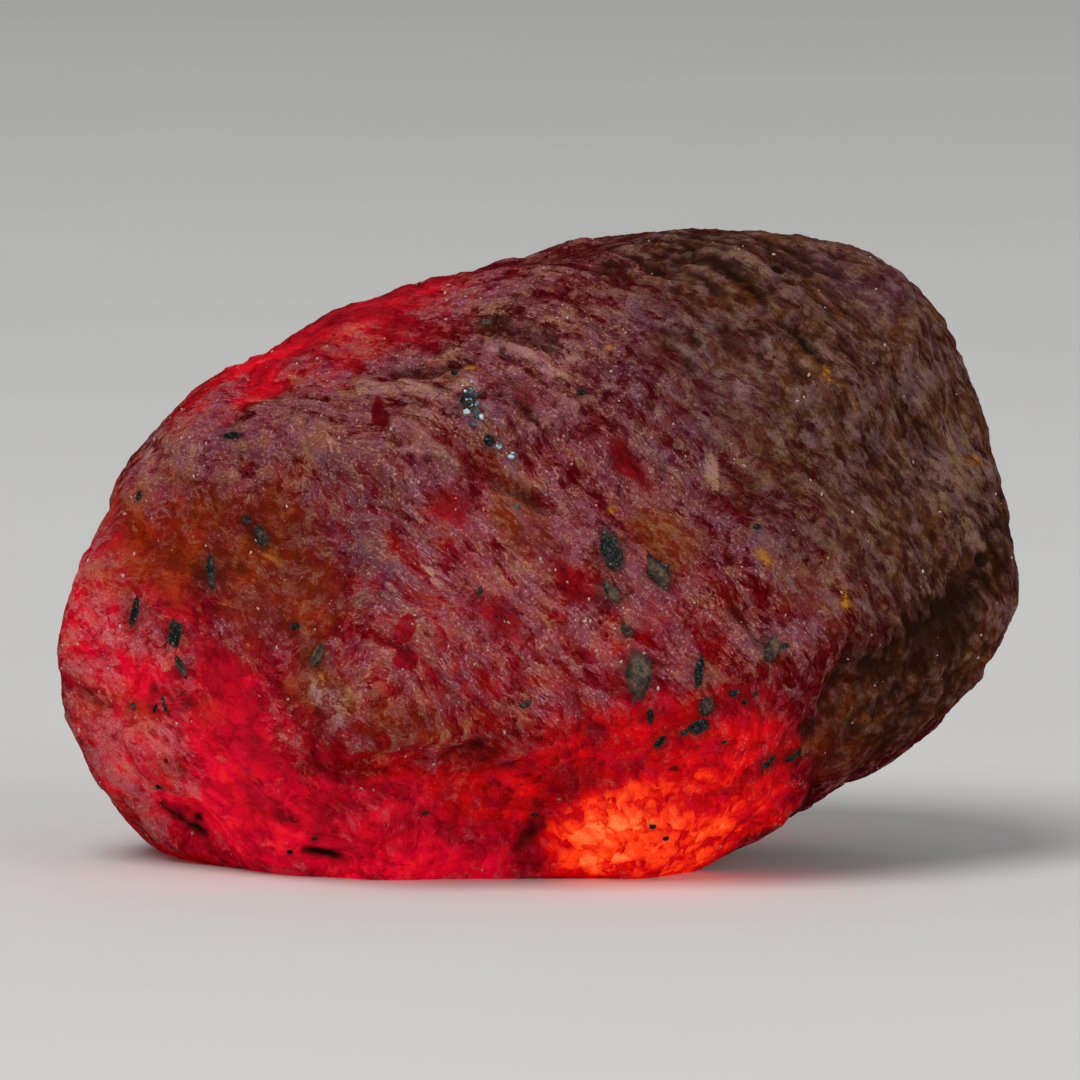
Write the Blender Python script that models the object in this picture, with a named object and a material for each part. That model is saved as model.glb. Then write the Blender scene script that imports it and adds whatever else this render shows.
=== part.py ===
"""A raw ruby crystal: one water-worn, blunt-faced stone that lies on a flat rubbed base.

Lengths below are in millimetres and the model is in metres, +Z up. The stone's long axis runs along X,
its best face looks to -Y, and the origin is the point of the base under the middle of its length.
Run it with: blender --background --python part.py
"""

import math

import bmesh
import bpy
from mathutils import Vector, noise

MM = 0.001
STONE_NAME = "ruby_crystal"

# Driving dimensions, in millimetres.
LENGTH = 16.0
DEPTH = 9.8
HEIGHT = 10.6
CENTRE = Vector((0.0, 0.0, 0.5 * HEIGHT))

# Worn flats that bound the stone: name, bearing (0 is the front, 90 is the right-hand end), slope above
# level, both in degrees, and distance from the centre in millimetres.
FLATS = (
    ("top", 90, 90, 5.30),
    ("top, falling left", -90, 78, 4.94),
    ("left shoulder", -90, 62, 5.06),
    ("left brow", -88, 39, 6.26),
    ("left cheek", -90, 20, 7.25),
    ("left end", -92, 0, 8.2),
    ("left keel", -90, -22, 8.5),
    ("left heel", -88, -43, 8.6),
    ("base", 0, -90, 5.50),
    ("right heel", 88, -58, 6.15),
    ("right keel", 92, -23, 7.55),
    ("right end", 90, 21, 7.64),
    ("right brow", 88, 45, 8.05),
    ("front", 3, 14, 4.05),
    ("front, falling left", -35, 6, 5.15),
    ("front, falling right", 43, 12, 5.95),
    ("upper front left", -32, 50, 4.60),
    ("upper front", 8, 52, 4.85),
    ("under front", 2, -38, 5.05),
    ("under front left", -42, -36, 6.35),
    ("under front right", 44, -40, 5.75),
    ("back", 182, -2, 4.75),
    ("back, falling left", -136, 10, 5.7),
    ("back, falling right", 130, -4, 6.1),
    ("upper back left", -160, 46, 4.9),
    ("upper back right", 150, 50, 5.9),
    ("under back", 176, -40, 5.15),
)
EDGE_CRISPNESS = 24.0

# Forms on the front, by their place across and up: shallow bites, with a radius and a depth, and low
# ribs from one point to another, with a width and a height. A groove is a rib of negative height.
FRONT_BITES = (
    ("scoop in the left face", (-3.7, 5.4), 2.1, 0.46),
    ("hollow under the scoop", (-4.9, 3.1), 1.4, 0.16),
    ("dent in the right brow", (6.2, 7.6), 1.5, 0.16),
    ("notch under the left heel", (-5.8, 0.8), 0.8, 0.30),
    ("pit in the left end", (-7.4, 2.9), 0.6, 0.16),
    ("dent under the front", (-0.1, 0.75), 1.0, 0.26),
    ("notch by the base", (-3.5, 0.45), 0.7, 0.20),
    ("furrow at the lower right", (5.0, 3.6), 1.0, 0.24),
    ("pit in the right end", (6.75, 4.3), 0.8, 0.16),
)
FRONT_RIBS = (
    ("brow over the scoop", (-5.6, 7.35), (-3.4, 7.6), 0.85, 0.16),
    ("brow, middle", (-3.4, 7.6), (-1.9, 7.4), 0.85, 0.16),
    ("brow, rising", (-1.9, 7.4), (0.1, 8.05), 0.80, 0.16),
    ("edge right of the scoop", (-2.9, 7.0), (-2.2, 3.2), 1.10, 0.14),
    ("seam to the right brow", (3.0, 10.3), (5.6, 8.0), 0.75, 0.13),
    ("seam to the right end", (5.6, 8.0), (7.65, 5.55), 0.75, 0.12),
    ("keel, left", (-3.4, 2.6), (-0.3, 2.8), 0.90, 0.12),
    ("keel, middle", (-0.3, 2.8), (2.65, 3.9), 0.90, 0.14),
    ("keel, right", (2.65, 3.9), (7.6, 4.6), 0.90, 0.12),
    ("groove below the brow", (-0.85, 7.0), (0.1, 6.5), 0.45, -0.16),
)
BACK_BITES = (
    ("dent in the back", (2.4, 6.0), 1.9, 0.35),
    ("chip in the back brow", (-4.2, 8.0), 1.4, 0.26),
    ("scoop low on the back", (-2.6, 3.4), 1.7, 0.26),
)

# The crystal parts along one set of planes, and their edges show as low ledges.
PARTING_NORMAL = Vector((0.585, 0.65, 0.486)).normalized()
LEDGE_PITCH = 1.15
LEDGE_HEIGHT = 0.11
LEDGE_TREAD = 0.78

# Broad lumps and smaller swells: size and height.
LUMPS = ((3.6, 0.20), (1.5, 0.11), (0.75, 0.05))

SPHERE_CUTS = 6
KEPT_SHARE = 0.44


def outward(bearing, slope):
    """The unit vector that points out of the stone at this bearing and slope, in degrees."""
    turn, rise = math.radians(bearing), math.radians(slope)
    return Vector((math.sin(turn) * math.cos(rise), -math.cos(turn) * math.cos(rise), math.sin(rise)))


def reach(direction, flats):
    """Distance from the centre to the worn surface. The power mean rounds the edges between flats."""
    crowding = 0.0
    for normal, distance in flats:
        facing = direction.dot(normal) / distance
        if facing > 0:
            crowding += facing**EDGE_CRISPNESS
    return crowding ** (-1 / EDGE_CRISPNESS)


def fade(distance, radius):
    """One at the middle of a form, falling smoothly to nothing at its radius."""
    share = distance / radius
    return (1 - share * share) ** 2 if share < 1 else 0.0


def distance_to_line(point, start, end):
    along = end - start
    share = max(0.0, min(1.0, (point - start).dot(along) / along.length_squared))
    return (point - start - along * share).length


def form_height(place):
    """The ribs raise the surface and the bites lower it, each on its own side of the stone."""
    seen = Vector((place.x, place.z))
    height = 0.0
    bites = FRONT_BITES if place.y < 0 else BACK_BITES
    for _, centre, radius, depth in bites:
        height -= depth * fade((seen - Vector(centre)).length, radius)
    if place.y < 0:
        for _, start, end, width, rise in FRONT_RIBS:
            height += rise * fade(distance_to_line(seen, Vector(start), Vector(end)), width)
    return height * min(1.0, abs(place.y))


def ledge_height(place):
    """Each tread climbs slowly towards the next parting plane and then drops."""
    wander = 0.35 * noise.noise(place / 2.4) + 0.12 * noise.noise(place / 0.9)
    step = (place.dot(PARTING_NORMAL) / LEDGE_PITCH + wander) % 1.0
    climb = step / LEDGE_TREAD if step < LEDGE_TREAD else (1 - step) / (1 - LEDGE_TREAD)
    strength = 0.55 + 0.45 * noise.noise(place / 3.1 + Vector((5, 1, 2)))
    return LEDGE_HEIGHT * strength * (climb - 0.5)


def lump_height(place):
    return sum(height * noise.noise(place / size + Vector((size, 3, 7))) for size, height in LUMPS)


def worn_surface():
    """A bmesh sphere whose points are moved out to the worn flats, then roughened."""
    flats = [(outward(bearing, slope), distance) for _, bearing, slope, distance in FLATS]
    stretch = Vector((LENGTH, DEPTH, HEIGHT)) / 2
    stone = bmesh.new()
    bmesh.ops.create_icosphere(stone, subdivisions=SPHERE_CUTS, radius=1.0)
    for vert in stone.verts:
        direction = (vert.co * stretch).normalized()
        place = CENTRE + direction * reach(direction, flats)
        relief = lump_height(place) + ledge_height(place) + form_height(place)
        vert.co = place + direction * relief
    return stone


def rub_flat(stone):
    """Cuts the stone at the level that it lies on, and closes the cut with one flat face."""
    geometry = stone.verts[:] + stone.edges[:] + stone.faces[:]
    cut = bmesh.ops.bisect_plane(stone, geom=geometry, plane_co=(0, 0, 0), plane_no=(0, 0, -1), clear_outer=True)
    rim = [edge for edge in cut["geom_cut"] if isinstance(edge, bmesh.types.BMEdge)]
    bmesh.ops.contextual_create(stone, geom=rim)


def fit_to_size(stone):
    """Brings the stone to its overall dimensions, with the base at the origin's level."""
    for axis, size in enumerate((LENGTH, DEPTH, HEIGHT)):
        low = min(vert.co[axis] for vert in stone.verts)
        high = max(vert.co[axis] for vert in stone.verts)
        datum = 0.0 if axis == 2 else 0.5 * size
        for vert in stone.verts:
            vert.co[axis] = (vert.co[axis] - low) / (high - low) * size - datum


def ruby_material():
    material = bpy.data.materials.new("raw_ruby")
    material.use_nodes = True
    shader = material.node_tree.nodes["Principled BSDF"]
    shader.inputs["Base Color"].default_value = (0.20, 0.02, 0.025, 1)
    shader.inputs["Roughness"].default_value = 0.55
    shader.inputs["Metallic"].default_value = 0.0
    shader.inputs["IOR"].default_value = 1.77
    return material


def thinned(stone):
    """The same surface with fewer facets where it is flat."""
    mesh = bpy.data.meshes.new("worn_surface")
    stone.to_mesh(mesh)
    stone.free()
    rough = bpy.data.objects.new("worn_surface", mesh)
    bpy.context.scene.collection.objects.link(rough)
    thin = rough.modifiers.new("thin", "DECIMATE")
    thin.ratio = KEPT_SHARE
    graph = bpy.context.evaluated_depsgraph_get()
    fewer = bpy.data.meshes.new_from_object(rough.evaluated_get(graph))
    bpy.data.objects.remove(rough)
    result = bmesh.new()
    result.from_mesh(fewer)
    bpy.data.meshes.remove(fewer)
    return result


def build_stone(collection):
    stone = thinned(worn_surface())
    rub_flat(stone)
    fit_to_size(stone)
    bmesh.ops.scale(stone, vec=Vector((MM, MM, MM)), verts=stone.verts)
    bmesh.ops.recalc_face_normals(stone, faces=stone.faces)
    mesh = bpy.data.meshes.new(STONE_NAME)
    stone.to_mesh(mesh)
    stone.free()
    mesh.materials.append(ruby_material())
    mesh.shade_smooth()
    mesh.set_sharp_from_angle(angle=math.radians(35))
    collection.objects.link(bpy.data.objects.new(STONE_NAME, mesh))


def main():
    for obj in list(bpy.data.objects):
        bpy.data.objects.remove(obj)
    collection = bpy.data.collections.new("raw_ruby_crystal")
    bpy.context.scene.collection.children.link(collection)
    build_stone(collection)


main()
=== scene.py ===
"""The looks of a raw ruby crystal: its worn skin, its mineral grains, and a painted glow that stands in for
lamp light shining up through it.

Every length that a function calls a bench length is in millimetres: the stone is worked at that scale,
and each finished mesh is brought back to metres.
"""

import math
import random

import bmesh
import bpy
import numpy as np
from bpy.props import FloatProperty, FloatVectorProperty, IntProperty, PointerProperty
from mathutils import Matrix, Vector, noise
from mathutils.bvhtree import BVHTree


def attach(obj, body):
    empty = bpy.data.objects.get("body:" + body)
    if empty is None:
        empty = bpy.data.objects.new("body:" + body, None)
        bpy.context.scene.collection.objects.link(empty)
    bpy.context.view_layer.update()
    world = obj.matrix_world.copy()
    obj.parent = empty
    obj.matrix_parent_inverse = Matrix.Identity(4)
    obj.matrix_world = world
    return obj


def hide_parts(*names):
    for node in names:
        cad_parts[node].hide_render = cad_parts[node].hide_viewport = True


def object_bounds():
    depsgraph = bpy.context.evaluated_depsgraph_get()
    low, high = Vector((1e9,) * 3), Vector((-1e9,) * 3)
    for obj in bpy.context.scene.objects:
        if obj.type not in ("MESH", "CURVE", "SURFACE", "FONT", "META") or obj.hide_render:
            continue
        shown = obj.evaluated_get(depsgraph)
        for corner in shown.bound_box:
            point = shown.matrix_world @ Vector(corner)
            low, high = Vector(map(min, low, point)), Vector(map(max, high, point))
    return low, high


bl_info = {
    "name": "Raw Ruby Crystal",
    "version": (1, 0, 0),
    "blender": (4, 5, 0),
    "location": "View3D > Sidebar > Ruby",
    # The inner light is a painted glow: emission standing in for lamp light shining up through the stone.
    "description": "Finishes a worn raw ruby: skin, veils, crust, inclusions and inner light",
    "category": "Object",
}

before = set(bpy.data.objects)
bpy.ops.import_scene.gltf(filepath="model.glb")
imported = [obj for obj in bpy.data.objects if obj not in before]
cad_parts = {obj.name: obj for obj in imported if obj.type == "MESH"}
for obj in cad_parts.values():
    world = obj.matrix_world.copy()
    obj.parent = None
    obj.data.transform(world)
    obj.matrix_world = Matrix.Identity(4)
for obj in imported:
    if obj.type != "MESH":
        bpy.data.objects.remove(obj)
FRAME_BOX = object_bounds()

MM = 0.001
SOLID = "ruby_crystal"
BODY = "root"

# From here on lengths are bench lengths, apart from the stage's.
# The stone's relief, by the names of the relief tree's inputs.
RELIEF = {
    "Ledge height": 0.055,
    "Ledge pitch": 0.62,
    "Ripple height": 0.09,
    "Pit depth": 0.07,
    "Crust height": 0.11,
}

# The solid's points nearer than this are one, its facets wear off in rounds of smoothing, and what is
# lowest then makes the flat base.
WELD_GAP = 0.001
WORN_ROUNDS = 14
RESTING_BELOW = 0.03

# Zones are read at points moved by smooth noise: how far it moves them, and its pitch. Blender starts that
# noise from the clock unless it is given a seed.
ZONE_BENDS = ((0.32, 1.1), (0.10, 0.4))
DROP_BEND = (0.04, 0.3)
FOLD_BEND = (0.10, 0.7)
BEND_SEED = 1795474161
# Power of a zone's fall from its middle to its edge, and the most that the light zones add up to.
ZONE_FALL = 0.8
LIGHT_LIMIT = 1.2

# Wear compares the stone with itself smoothed: rounds of smoothing, and the rise that is fully worn.
WEAR_NEAR = (12, 0.06)
WEAR_FAR = (90, 0.30)

# The stain round a dark grain: how far it reaches past the grain, and the width of grain that stains fully.
HALO_REACH = 0.16
HALO_FULL_WIDTH = 0.2

# A long ray finds a grain's place on the stone, and a short one each point of the grain.
BACKWARDS = Vector((0, 1, 0))
LONG_RAY = 20
SHORT_RAY = 0.6
GRAIN_THICKNESS = 0.05
GRAIN_SUNK_SHARE = 0.35
# A longer grain has a finer mesh.
FINE_GRAIN_LENGTH = 0.3
# Strength and scale of the noises in a grain's outline, and of the one in its lumpy face.
OUTLINE_NOISE = ((0.24, 1.6), (0.12, 4.1))
LUMP_NOISE = (0.7, 2.6)

# The stage, in metres: each lamp's place and size, the floor's half size and the camera's lens.
LAMPS = {"key": ((-0.16, -0.26, 0.42), 0.30), "fill": ((0.42, -0.30, 0.16), 0.36)}
LAMP_TARGET = Vector((0, 0, 5)) * MM
SKY_COLOUR = (0.95, 0.97, 1.0, 1)
FLOOR_HALF_SIZE = 2.0
FLOOR_MOTTLE = 0.985
CAMERA_TARGET = Vector((0.05, 0, 5.42)) * MM
LENS_MM = 360
SENSOR_MM = 36
CLIP_START = 0.01

# The crystal parts along one set of planes. Streaks, ledges and flakes all follow them.
PARTING_NORMAL = Vector((0.585, 0.65, 0.486)).normalized()
PARTING_LENGTHWISE = Vector((0.486, 0.0, -0.585)).normalized()
PARTING_CROSSWISE = PARTING_NORMAL.cross(PARTING_LENGTHWISE)

# Where the stone's finishes lie. Each zone is an ellipsoid: its name, middle, half sizes, how far it is
# turned in the front view in degrees, and its strength (less than 0 takes light away).
# LIGHT places the painted glow: emission that stands in for lamp light shining up through the stone from
# below.
LIGHT = (
    ("heart", (1.13, -3.2, 0.86), (1.40, 2.8, 0.93), 24, 0.66),
    ("heart, right", (3.0, -2.8, 1.95), (1.7, 3.4, 1.05), 34, 0.30),
    ("above the heart", (0.5, -3.4, 1.7), (0.7, 2.0, 0.5), 38, -0.14),
    ("heart, below", (2.2, -1.8, 0.6), (2.4, 2.6, 0.8), 16, 0.38),
    ("keel edge", (3.1, -1.8, 0.9), (1.9, 2.8, 0.8), 30, 0.32),
    ("red keel", (1.8, -4.4, 2.1), (3.1, 3.0, 1.4), 14, 0.30),
    ("belly", (-1.6, -3.6, 1.15), (2.0, 2.8, 1.1), 0, 0.22),
    ("left window", (-4.8, -3.0, 2.6), (0.9, 2.2, 1.9), 15, 0.30),
    ("left low", (-4.1, -2.6, 1.0), (2.3, 2.6, 1.1), 0, 0.21),
    ("left cheek", (-6.6, -1.8, 3.9), (1.4, 2.2, 1.5), 0, 0.26),
    ("left edge", (-7.6, -1.0, 4.8), (1.1, 2.2, 2.4), 0, 0.38),
    ("left toe", (-6.3, -1.6, 2.0), (1.8, 2.4, 2.0), 0, 0.38),
    ("bottom lip", (-2.1, -2.6, 0.2), (1.8, 1.6, 0.5), 0, 0.39),
    ("top edge", (-2.6, -1.0, 9.65), (3.2, 3.4, 1.35), 26, 0.47),
    ("top edge, left", (-5.2, -0.4, 8.2), (1.7, 3.0, 0.8), 36, 0.42),
    ("upper keel", (2.0, -4.4, 3.7), (2.0, 1.6, 1.1), 12, 0.07),
    ("left shoulder", (-6.5, -1.8, 6.2), (1.0, 2.4, 1.5), 20, 0.20),
    ("front, left", (-1.6, -4.3, 5.3), (1.3, 1.8, 1.0), 0, 0.06),
    ("bottom, left", (-4.2, -1.8, 0.45), (1.5, 2.0, 0.6), -12, 0.32),
    ("reach", (-2.2, -2.5, 2.4), (8.5, 7.0, 6.8), 0, 0.34),
    ("back belly", (0.8, 4.0, 1.3), (4.8, 3.0, 1.9), 0, 0.26),
    ("back heart", (1.2, 3.2, 0.9), (2.2, 2.6, 1.1), -8, 0.42),
    ("back left", (-4.6, 2.8, 2.4), (2.8, 2.4, 2.2), 0, 0.24),
    ("back reach", (-2.2, 3.0, 2.3), (8.0, 6.0, 6.5), 0, 0.32),
)
PINK = (
    ("left window", (-4.85, -3.0, 2.6), (1.8, 2.6, 2.6), 15, 1.0),
    ("left cheek", (-6.6, -1.8, 3.0), (1.9, 2.8, 2.1), 0, 1.0),
    ("left edge", (-7.4, -1.0, 4.2), (1.2, 2.6, 2.4), 0, 0.8),
    ("left low", (-4.4, -2.4, 0.9), (3.2, 3.0, 1.5), 0, 1.0),
    ("bottom lip", (-2.2, -2.6, 0.2), (2.4, 2.2, 0.8), 0, 1.0),
    ("belly", (-2.2, -3.8, 1.2), (0.9, 1.6, 0.8), 0, 0.5),
    ("top edge", (-3.4, -0.6, 9.3), (3.6, 4.6, 1.6), 28, 0.25),
    ("drops", (-2.1, -4.6, 4.2), (0.8, 1.2, 0.8), 0, 0.9),
    ("back left", (-4.6, 3.0, 2.2), (2.6, 2.6, 2.2), 0, 0.8),
)
VEIL = (
    ("front", (-0.5, -4.6, 5.7), (6.2, 4.2, 3.4), 20, 1.0),
    ("upper front", (-0.8, -3.4, 7.9), (5.8, 4.5, 1.6), 20, 0.9),
    ("brow, left", (-4.6, -2.6, 7.3), (2.6, 2.8, 1.1), 14, 0.9),
    ("upper right", (3.4, -2.8, 8.3), (3.6, 4.2, 3.4), 0, 0.40),
    ("left edge", (-7.3, -1.0, 4.2), (1.2, 2.6, 3.0), 0, 0.95),
    ("left toe", (-6.6, -1.4, 2.0), (1.5, 2.6, 1.7), 30, 1.15),
    ("red streaks", (1.8, -4.3, 4.55), (1.9, 1.8, 1.1), -35, 1.2),
    ("top, left", (-0.8, -1.6, 9.6), (1.4, 2.6, 0.6), 12, 1.2),
    ("left shoulder", (-6.2, -1.8, 6.8), (1.4, 2.4, 1.1), 30, 1.3),
    ("red brow", (-3.6, -2.4, 8.45), (1.5, 2.2, 0.5), 32, 1.0),
    ("brow, middle", (-2.3, -2.8, 8.5), (0.8, 1.8, 0.45), 15, 1.25),
    ("scoop, top", (-4.5, -3.2, 6.9), (1.1, 1.8, 0.6), 0, 1.3),
    ("below the seam", (-1.8, -4.0, 6.9), (0.7, 1.6, 0.5), -10, 1.35),
    ("front, left", (-1.6, -4.4, 5.3), (0.9, 1.6, 0.45), 0, 1.4),
    ("heel edge", (-6.5, -1.0, 1.05), (1.1, 2.0, 0.6), -45, 1.2),
    ("brow, low", (-2.8, -3.2, 7.9), (0.7, 1.6, 0.4), 0, 1.3),
    ("right of the scoop", (-2.7, -4.0, 6.1), (0.8, 1.8, 0.8), 0, 1.3),
    ("left of the belly", (-3.3, -3.8, 3.2), (0.7, 1.8, 0.6), 0, 1.45),
    ("left cheek", (-6.2, -1.8, 3.9), (0.8, 1.8, 0.6), 0, 1.0),
    ("right of the front", (4.5, -3.6, 5.3), (0.8, 1.8, 0.6), -45, 1.2),
    ("right of the front, up", (3.95, -3.5, 5.9), (0.5, 1.6, 0.45), -45, 1.2),
    ("right of the front, low", (3.7, -3.6, 4.3), (1.0, 1.8, 0.5), -20, 1.35),
    ("shoulder edge", (-5.35, -1.6, 7.9), (0.9, 2.0, 0.4), 36, 1.2),
    ("above the keel", (-0.2, -4.4, 3.35), (1.0, 1.6, 0.36), 14, 1.15),
    ("back", (0.0, 4.7, 5.8), (7.5, 4.0, 4.3), 6, 0.95),
)
PLUM = (
    ("right of the scoop", (-2.7, -3.8, 5.7), (1.5, 2.4, 2.2), 10, 1.0),
    ("below the brow", (-0.8, -3.8, 7.4), (1.2, 1.6, 0.8), 0, 0.7),
    ("upper right", (2.3, -3.4, 8.2), (2.8, 2.6, 1.4), -48, 1.0),
    ("right of the front", (3.5, -3.8, 5.6), (2.2, 2.2, 1.1), -50, 0.8),
    ("top right", (5.4, -1.2, 10.1), (1.7, 3.4, 0.8), -10, 1.0),
    ("keel front", (-1.6, -4.6, 3.7), (1.4, 1.6, 0.8), 0, 0.6),
    ("back", (1.5, 4.4, 6.4), (3.0, 2.6, 2.0), -30, 0.9),
)
CRUST = (
    ("right end", (6.0, -1.0, 7.2), (8.5, 7.0, 3.6), -50, 1.0),
    ("right brow", (4.2, -1.2, 9.7), (3.8, 5.0, 1.8), -28, 0.8),
    ("top", (2.6, 0.5, 10.5), (3.6, 4.2, 1.3), 0, 0.4),
    ("right keel", (6.6, -2.2, 3.4), (2.7, 3.6, 2.0), 38, 0.9),
    ("back of the right end", (6.2, 3.2, 6.0), (3.4, 4.0, 4.6), 0, 0.9),
    ("back patch", (-2.4, 4.6, 7.4), (2.2, 2.2, 1.4), 20, 0.6),
)
RUST = (
    ("scoop", (-4.3, -3.2, 5.2), (1.5, 2.0, 1.9), 30, 0.9),
    ("left face", (-5.7, -2.2, 5.7), (1.7, 2.0, 1.6), 0, 0.8),
    ("below the scoop", (-3.4, -3.9, 3.3), (0.9, 1.6, 1.3), 20, 0.8),
    ("left edge", (-7.0, -1.4, 5.2), (0.9, 1.6, 1.4), 0, 0.6),
    ("left pit", (-7.2, -1.1, 2.9), (0.8, 1.2, 0.8), 0, 0.7),
    ("left cheek", (-6.5, -1.5, 2.7), (0.7, 1.4, 0.5), 0, 0.85),
    ("left cheek, right", (-5.4, -2.0, 2.95), (0.5, 1.4, 0.6), 10, 0.65),
    ("left toe", (-6.0, -1.6, 1.7), (0.7, 1.4, 0.45), -20, 0.7),
    ("left shoulder", (-6.8, -1.4, 5.9), (0.65, 1.6, 0.9), 0, 0.75),
    ("keel, left", (-2.2, -4.6, 2.7), (1.3, 1.2, 0.7), 0, 0.65),
    ("by the twin grains", (2.1, -4.0, 5.9), (0.9, 1.0, 0.6), -35, 1.0),
    ("below the brow", (-0.3, -3.8, 6.3), (1.2, 1.2, 0.55), -45, 0.7),
    ("right of the front", (4.5, -4.0, 4.7), (1.0, 1.2, 0.6), -50, 0.7),
    ("lower right", (6.3, -2.0, 3.2), (2.9, 2.8, 1.4), 38, 1.0),
    ("right rim", (7.9, -0.6, 4.6), (0.9, 2.6, 2.4), 0, 0.7),
    ("back", (-4.6, 3.4, 5.4), (1.8, 2.0, 1.5), 30, 0.8),
    ("back, right", (3.4, 4.6, 3.6), (1.3, 1.5, 0.9), 0, 0.6),
)
# SHADE is mostly painted shade, on hollows, creases, pits, the undersides, the top and the right rim; a few
# zones, such as the dark red dot, are darker patches of the stone itself.
SHADE = (
    ("groove below the brow", (-0.4, -3.8, 6.75), (0.62, 0.8, 0.2), -40, 0.35),
    ("left crevice", (-5.78, -0.9, 0.85), (0.58, 1.0, 0.26), -35, 1.0),
    ("pit in the left end", (-7.45, -1.0, 2.95), (0.36, 0.8, 0.32), 0, 0.35),
    ("hollow under the front", (-0.15, -2.8, 0.75), (0.45, 0.9, 0.34), 55, 0.22),
    ("cleft by the base", (-3.5, -2.2, 0.35), (0.4, 0.9, 0.16), -10, 0.4),
    ("dent in the right brow", (6.05, -2.1, 7.85), (0.5, 1.4, 0.8), -50, 0.25),
    ("right end, low", (6.5, -2.2, 4.1), (2.0, 2.6, 0.85), 34, 1.9),
    ("furrow at the lower right", (4.95, -3.5, 3.7), (0.55, 1.2, 0.95), 28, 0.45),
    ("dark streaks", (3.9, -3.5, 6.6), (1.7, 1.4, 0.45), -52, 0.25),
    ("upper dark streaks", (2.4, -3.2, 8.3), (1.8, 1.6, 0.5), -40, 0.25),
    ("top", (2.2, -1.0, 10.5), (3.8, 3.4, 1.0), -6, 1.05),
    ("keel, below the front", (0.0, -4.6, 2.75), (1.9, 1.4, 0.6), 14, 0.8),
    ("drops", (-2.1, -4.6, 4.2), (0.45, 1.0, 0.6), 0, 0.55),
    ("right underside", (6.2, -1.2, 3.0), (2.8, 2.8, 1.5), 38, 1.1),
    ("hollow of the left cheek", (-5.95, -1.9, 3.15), (0.6, 1.4, 0.45), 20, 1.15),
    ("left toe", (-5.9, -1.6, 1.75), (0.5, 1.2, 0.4), 0, 0.8),
    ("right rim", (7.7, -0.8, 5.3), (0.7, 1.8, 0.9), 0, 1.6),
    ("upper brow", (-0.2, -2.4, 9.1), (0.9, 1.8, 0.5), 10, 1.0),
    ("by the facets", (-0.2, -3.4, 8.0), (0.7, 1.4, 0.45), -20, 1.0),
    ("brow, left", (-1.8, -3.2, 7.95), (0.6, 1.2, 0.35), 0, 0.9),
    ("right of the streaks", (2.6, -2.6, 9.0), (0.9, 1.8, 0.5), 0, 0.9),
    ("right brow", (4.4, -2.4, 8.4), (0.6, 1.6, 0.4), -40, 1.0),
    ("right brow, upper", (4.5, -2.0, 9.1), (0.6, 1.6, 0.4), -40, 1.0),
    ("right of the front, low", (3.4, -3.6, 4.4), (0.7, 1.4, 0.35), -30, 0.9),
    ("right keel", (4.5, -3.2, 2.75), (0.7, 1.6, 0.5), 38, 1.0),
    ("dark red dot", (2.33, -3.6, 2.06), (0.19, 1.0, 0.11), 45, 2.2),
)

WINDOW = (
    ("crimson streak", (1.95, -3.0, 8.9), (0.35, 1.2, 0.6), 0, 0.55),
    ("crimson streak, low", (2.1, -3.5, 7.9), (0.3, 1.2, 0.45), -30, 0.5),
    ("dark crimson", (4.65, -3.6, 5.95), (0.8, 1.2, 0.25), -45, 0.55),
    ("dark crimson, upper", (3.5, -3.8, 6.7), (0.7, 1.2, 0.22), -45, 0.45),
    ("keel oval", (-2.6, -4.7, 2.5), (0.27, 0.9, 0.20), 0, 0.9),
    ("belly oval", (-2.85, -4.2, 1.85), (0.30, 0.9, 0.24), -20, 0.9),
    ("brow flake", (-2.55, -3.4, 7.85), (0.18, 0.8, 0.34), 35, 0.9),
    ("left window, top", (-5.0, -2.9, 3.7), (0.34, 0.9, 0.65), 25, 0.8),
    ("left window, foot", (-4.7, -2.9, 2.5), (0.55, 0.9, 1.15), 14, 0.75),
    ("lower window", (-4.2, -2.5, 1.2), (1.2, 1.0, 0.55), 0, 0.9),
    ("left heel", (-5.3, -1.6, 1.3), (0.35, 1.0, 0.40), 0, 0.7),
    ("front streak", (-1.35, -4.1, 6.3), (0.42, 0.9, 0.5), 35, 0.5),
    ("front streak, low", (-0.6, -4.4, 4.6), (0.9, 0.9, 0.35), -40, 0.5),
    ("right streak", (1.9, -4.2, 4.5), (0.75, 1.0, 0.35), -45, 0.35),
    ("right streak, low", (2.5, -4.2, 3.9), (0.7, 1.0, 0.3), -45, 0.4),
    ("middle streak", (0.7, -4.2, 5.1), (0.8, 1.0, 0.22), -45, 0.55),
    ("upper streak", (1.5, -4.0, 7.0), (0.85, 1.0, 0.35), -45, 0.65),
    ("upper streak, left", (0.7, -4.0, 7.5), (0.5, 1.0, 0.25), -45, 0.58),
    ("bottom lip", (-1.9, -2.5, 0.25), (0.9, 1.4, 0.25), 0, 0.8),
    ("top edge", (-3.0, -0.6, 9.5), (2.8, 4.2, 1.0), 28, 0.45),
    ("by the facets", (-0.15, -3.6, 8.15), (0.5, 0.9, 0.4), -30, 0.45),
)
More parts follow.
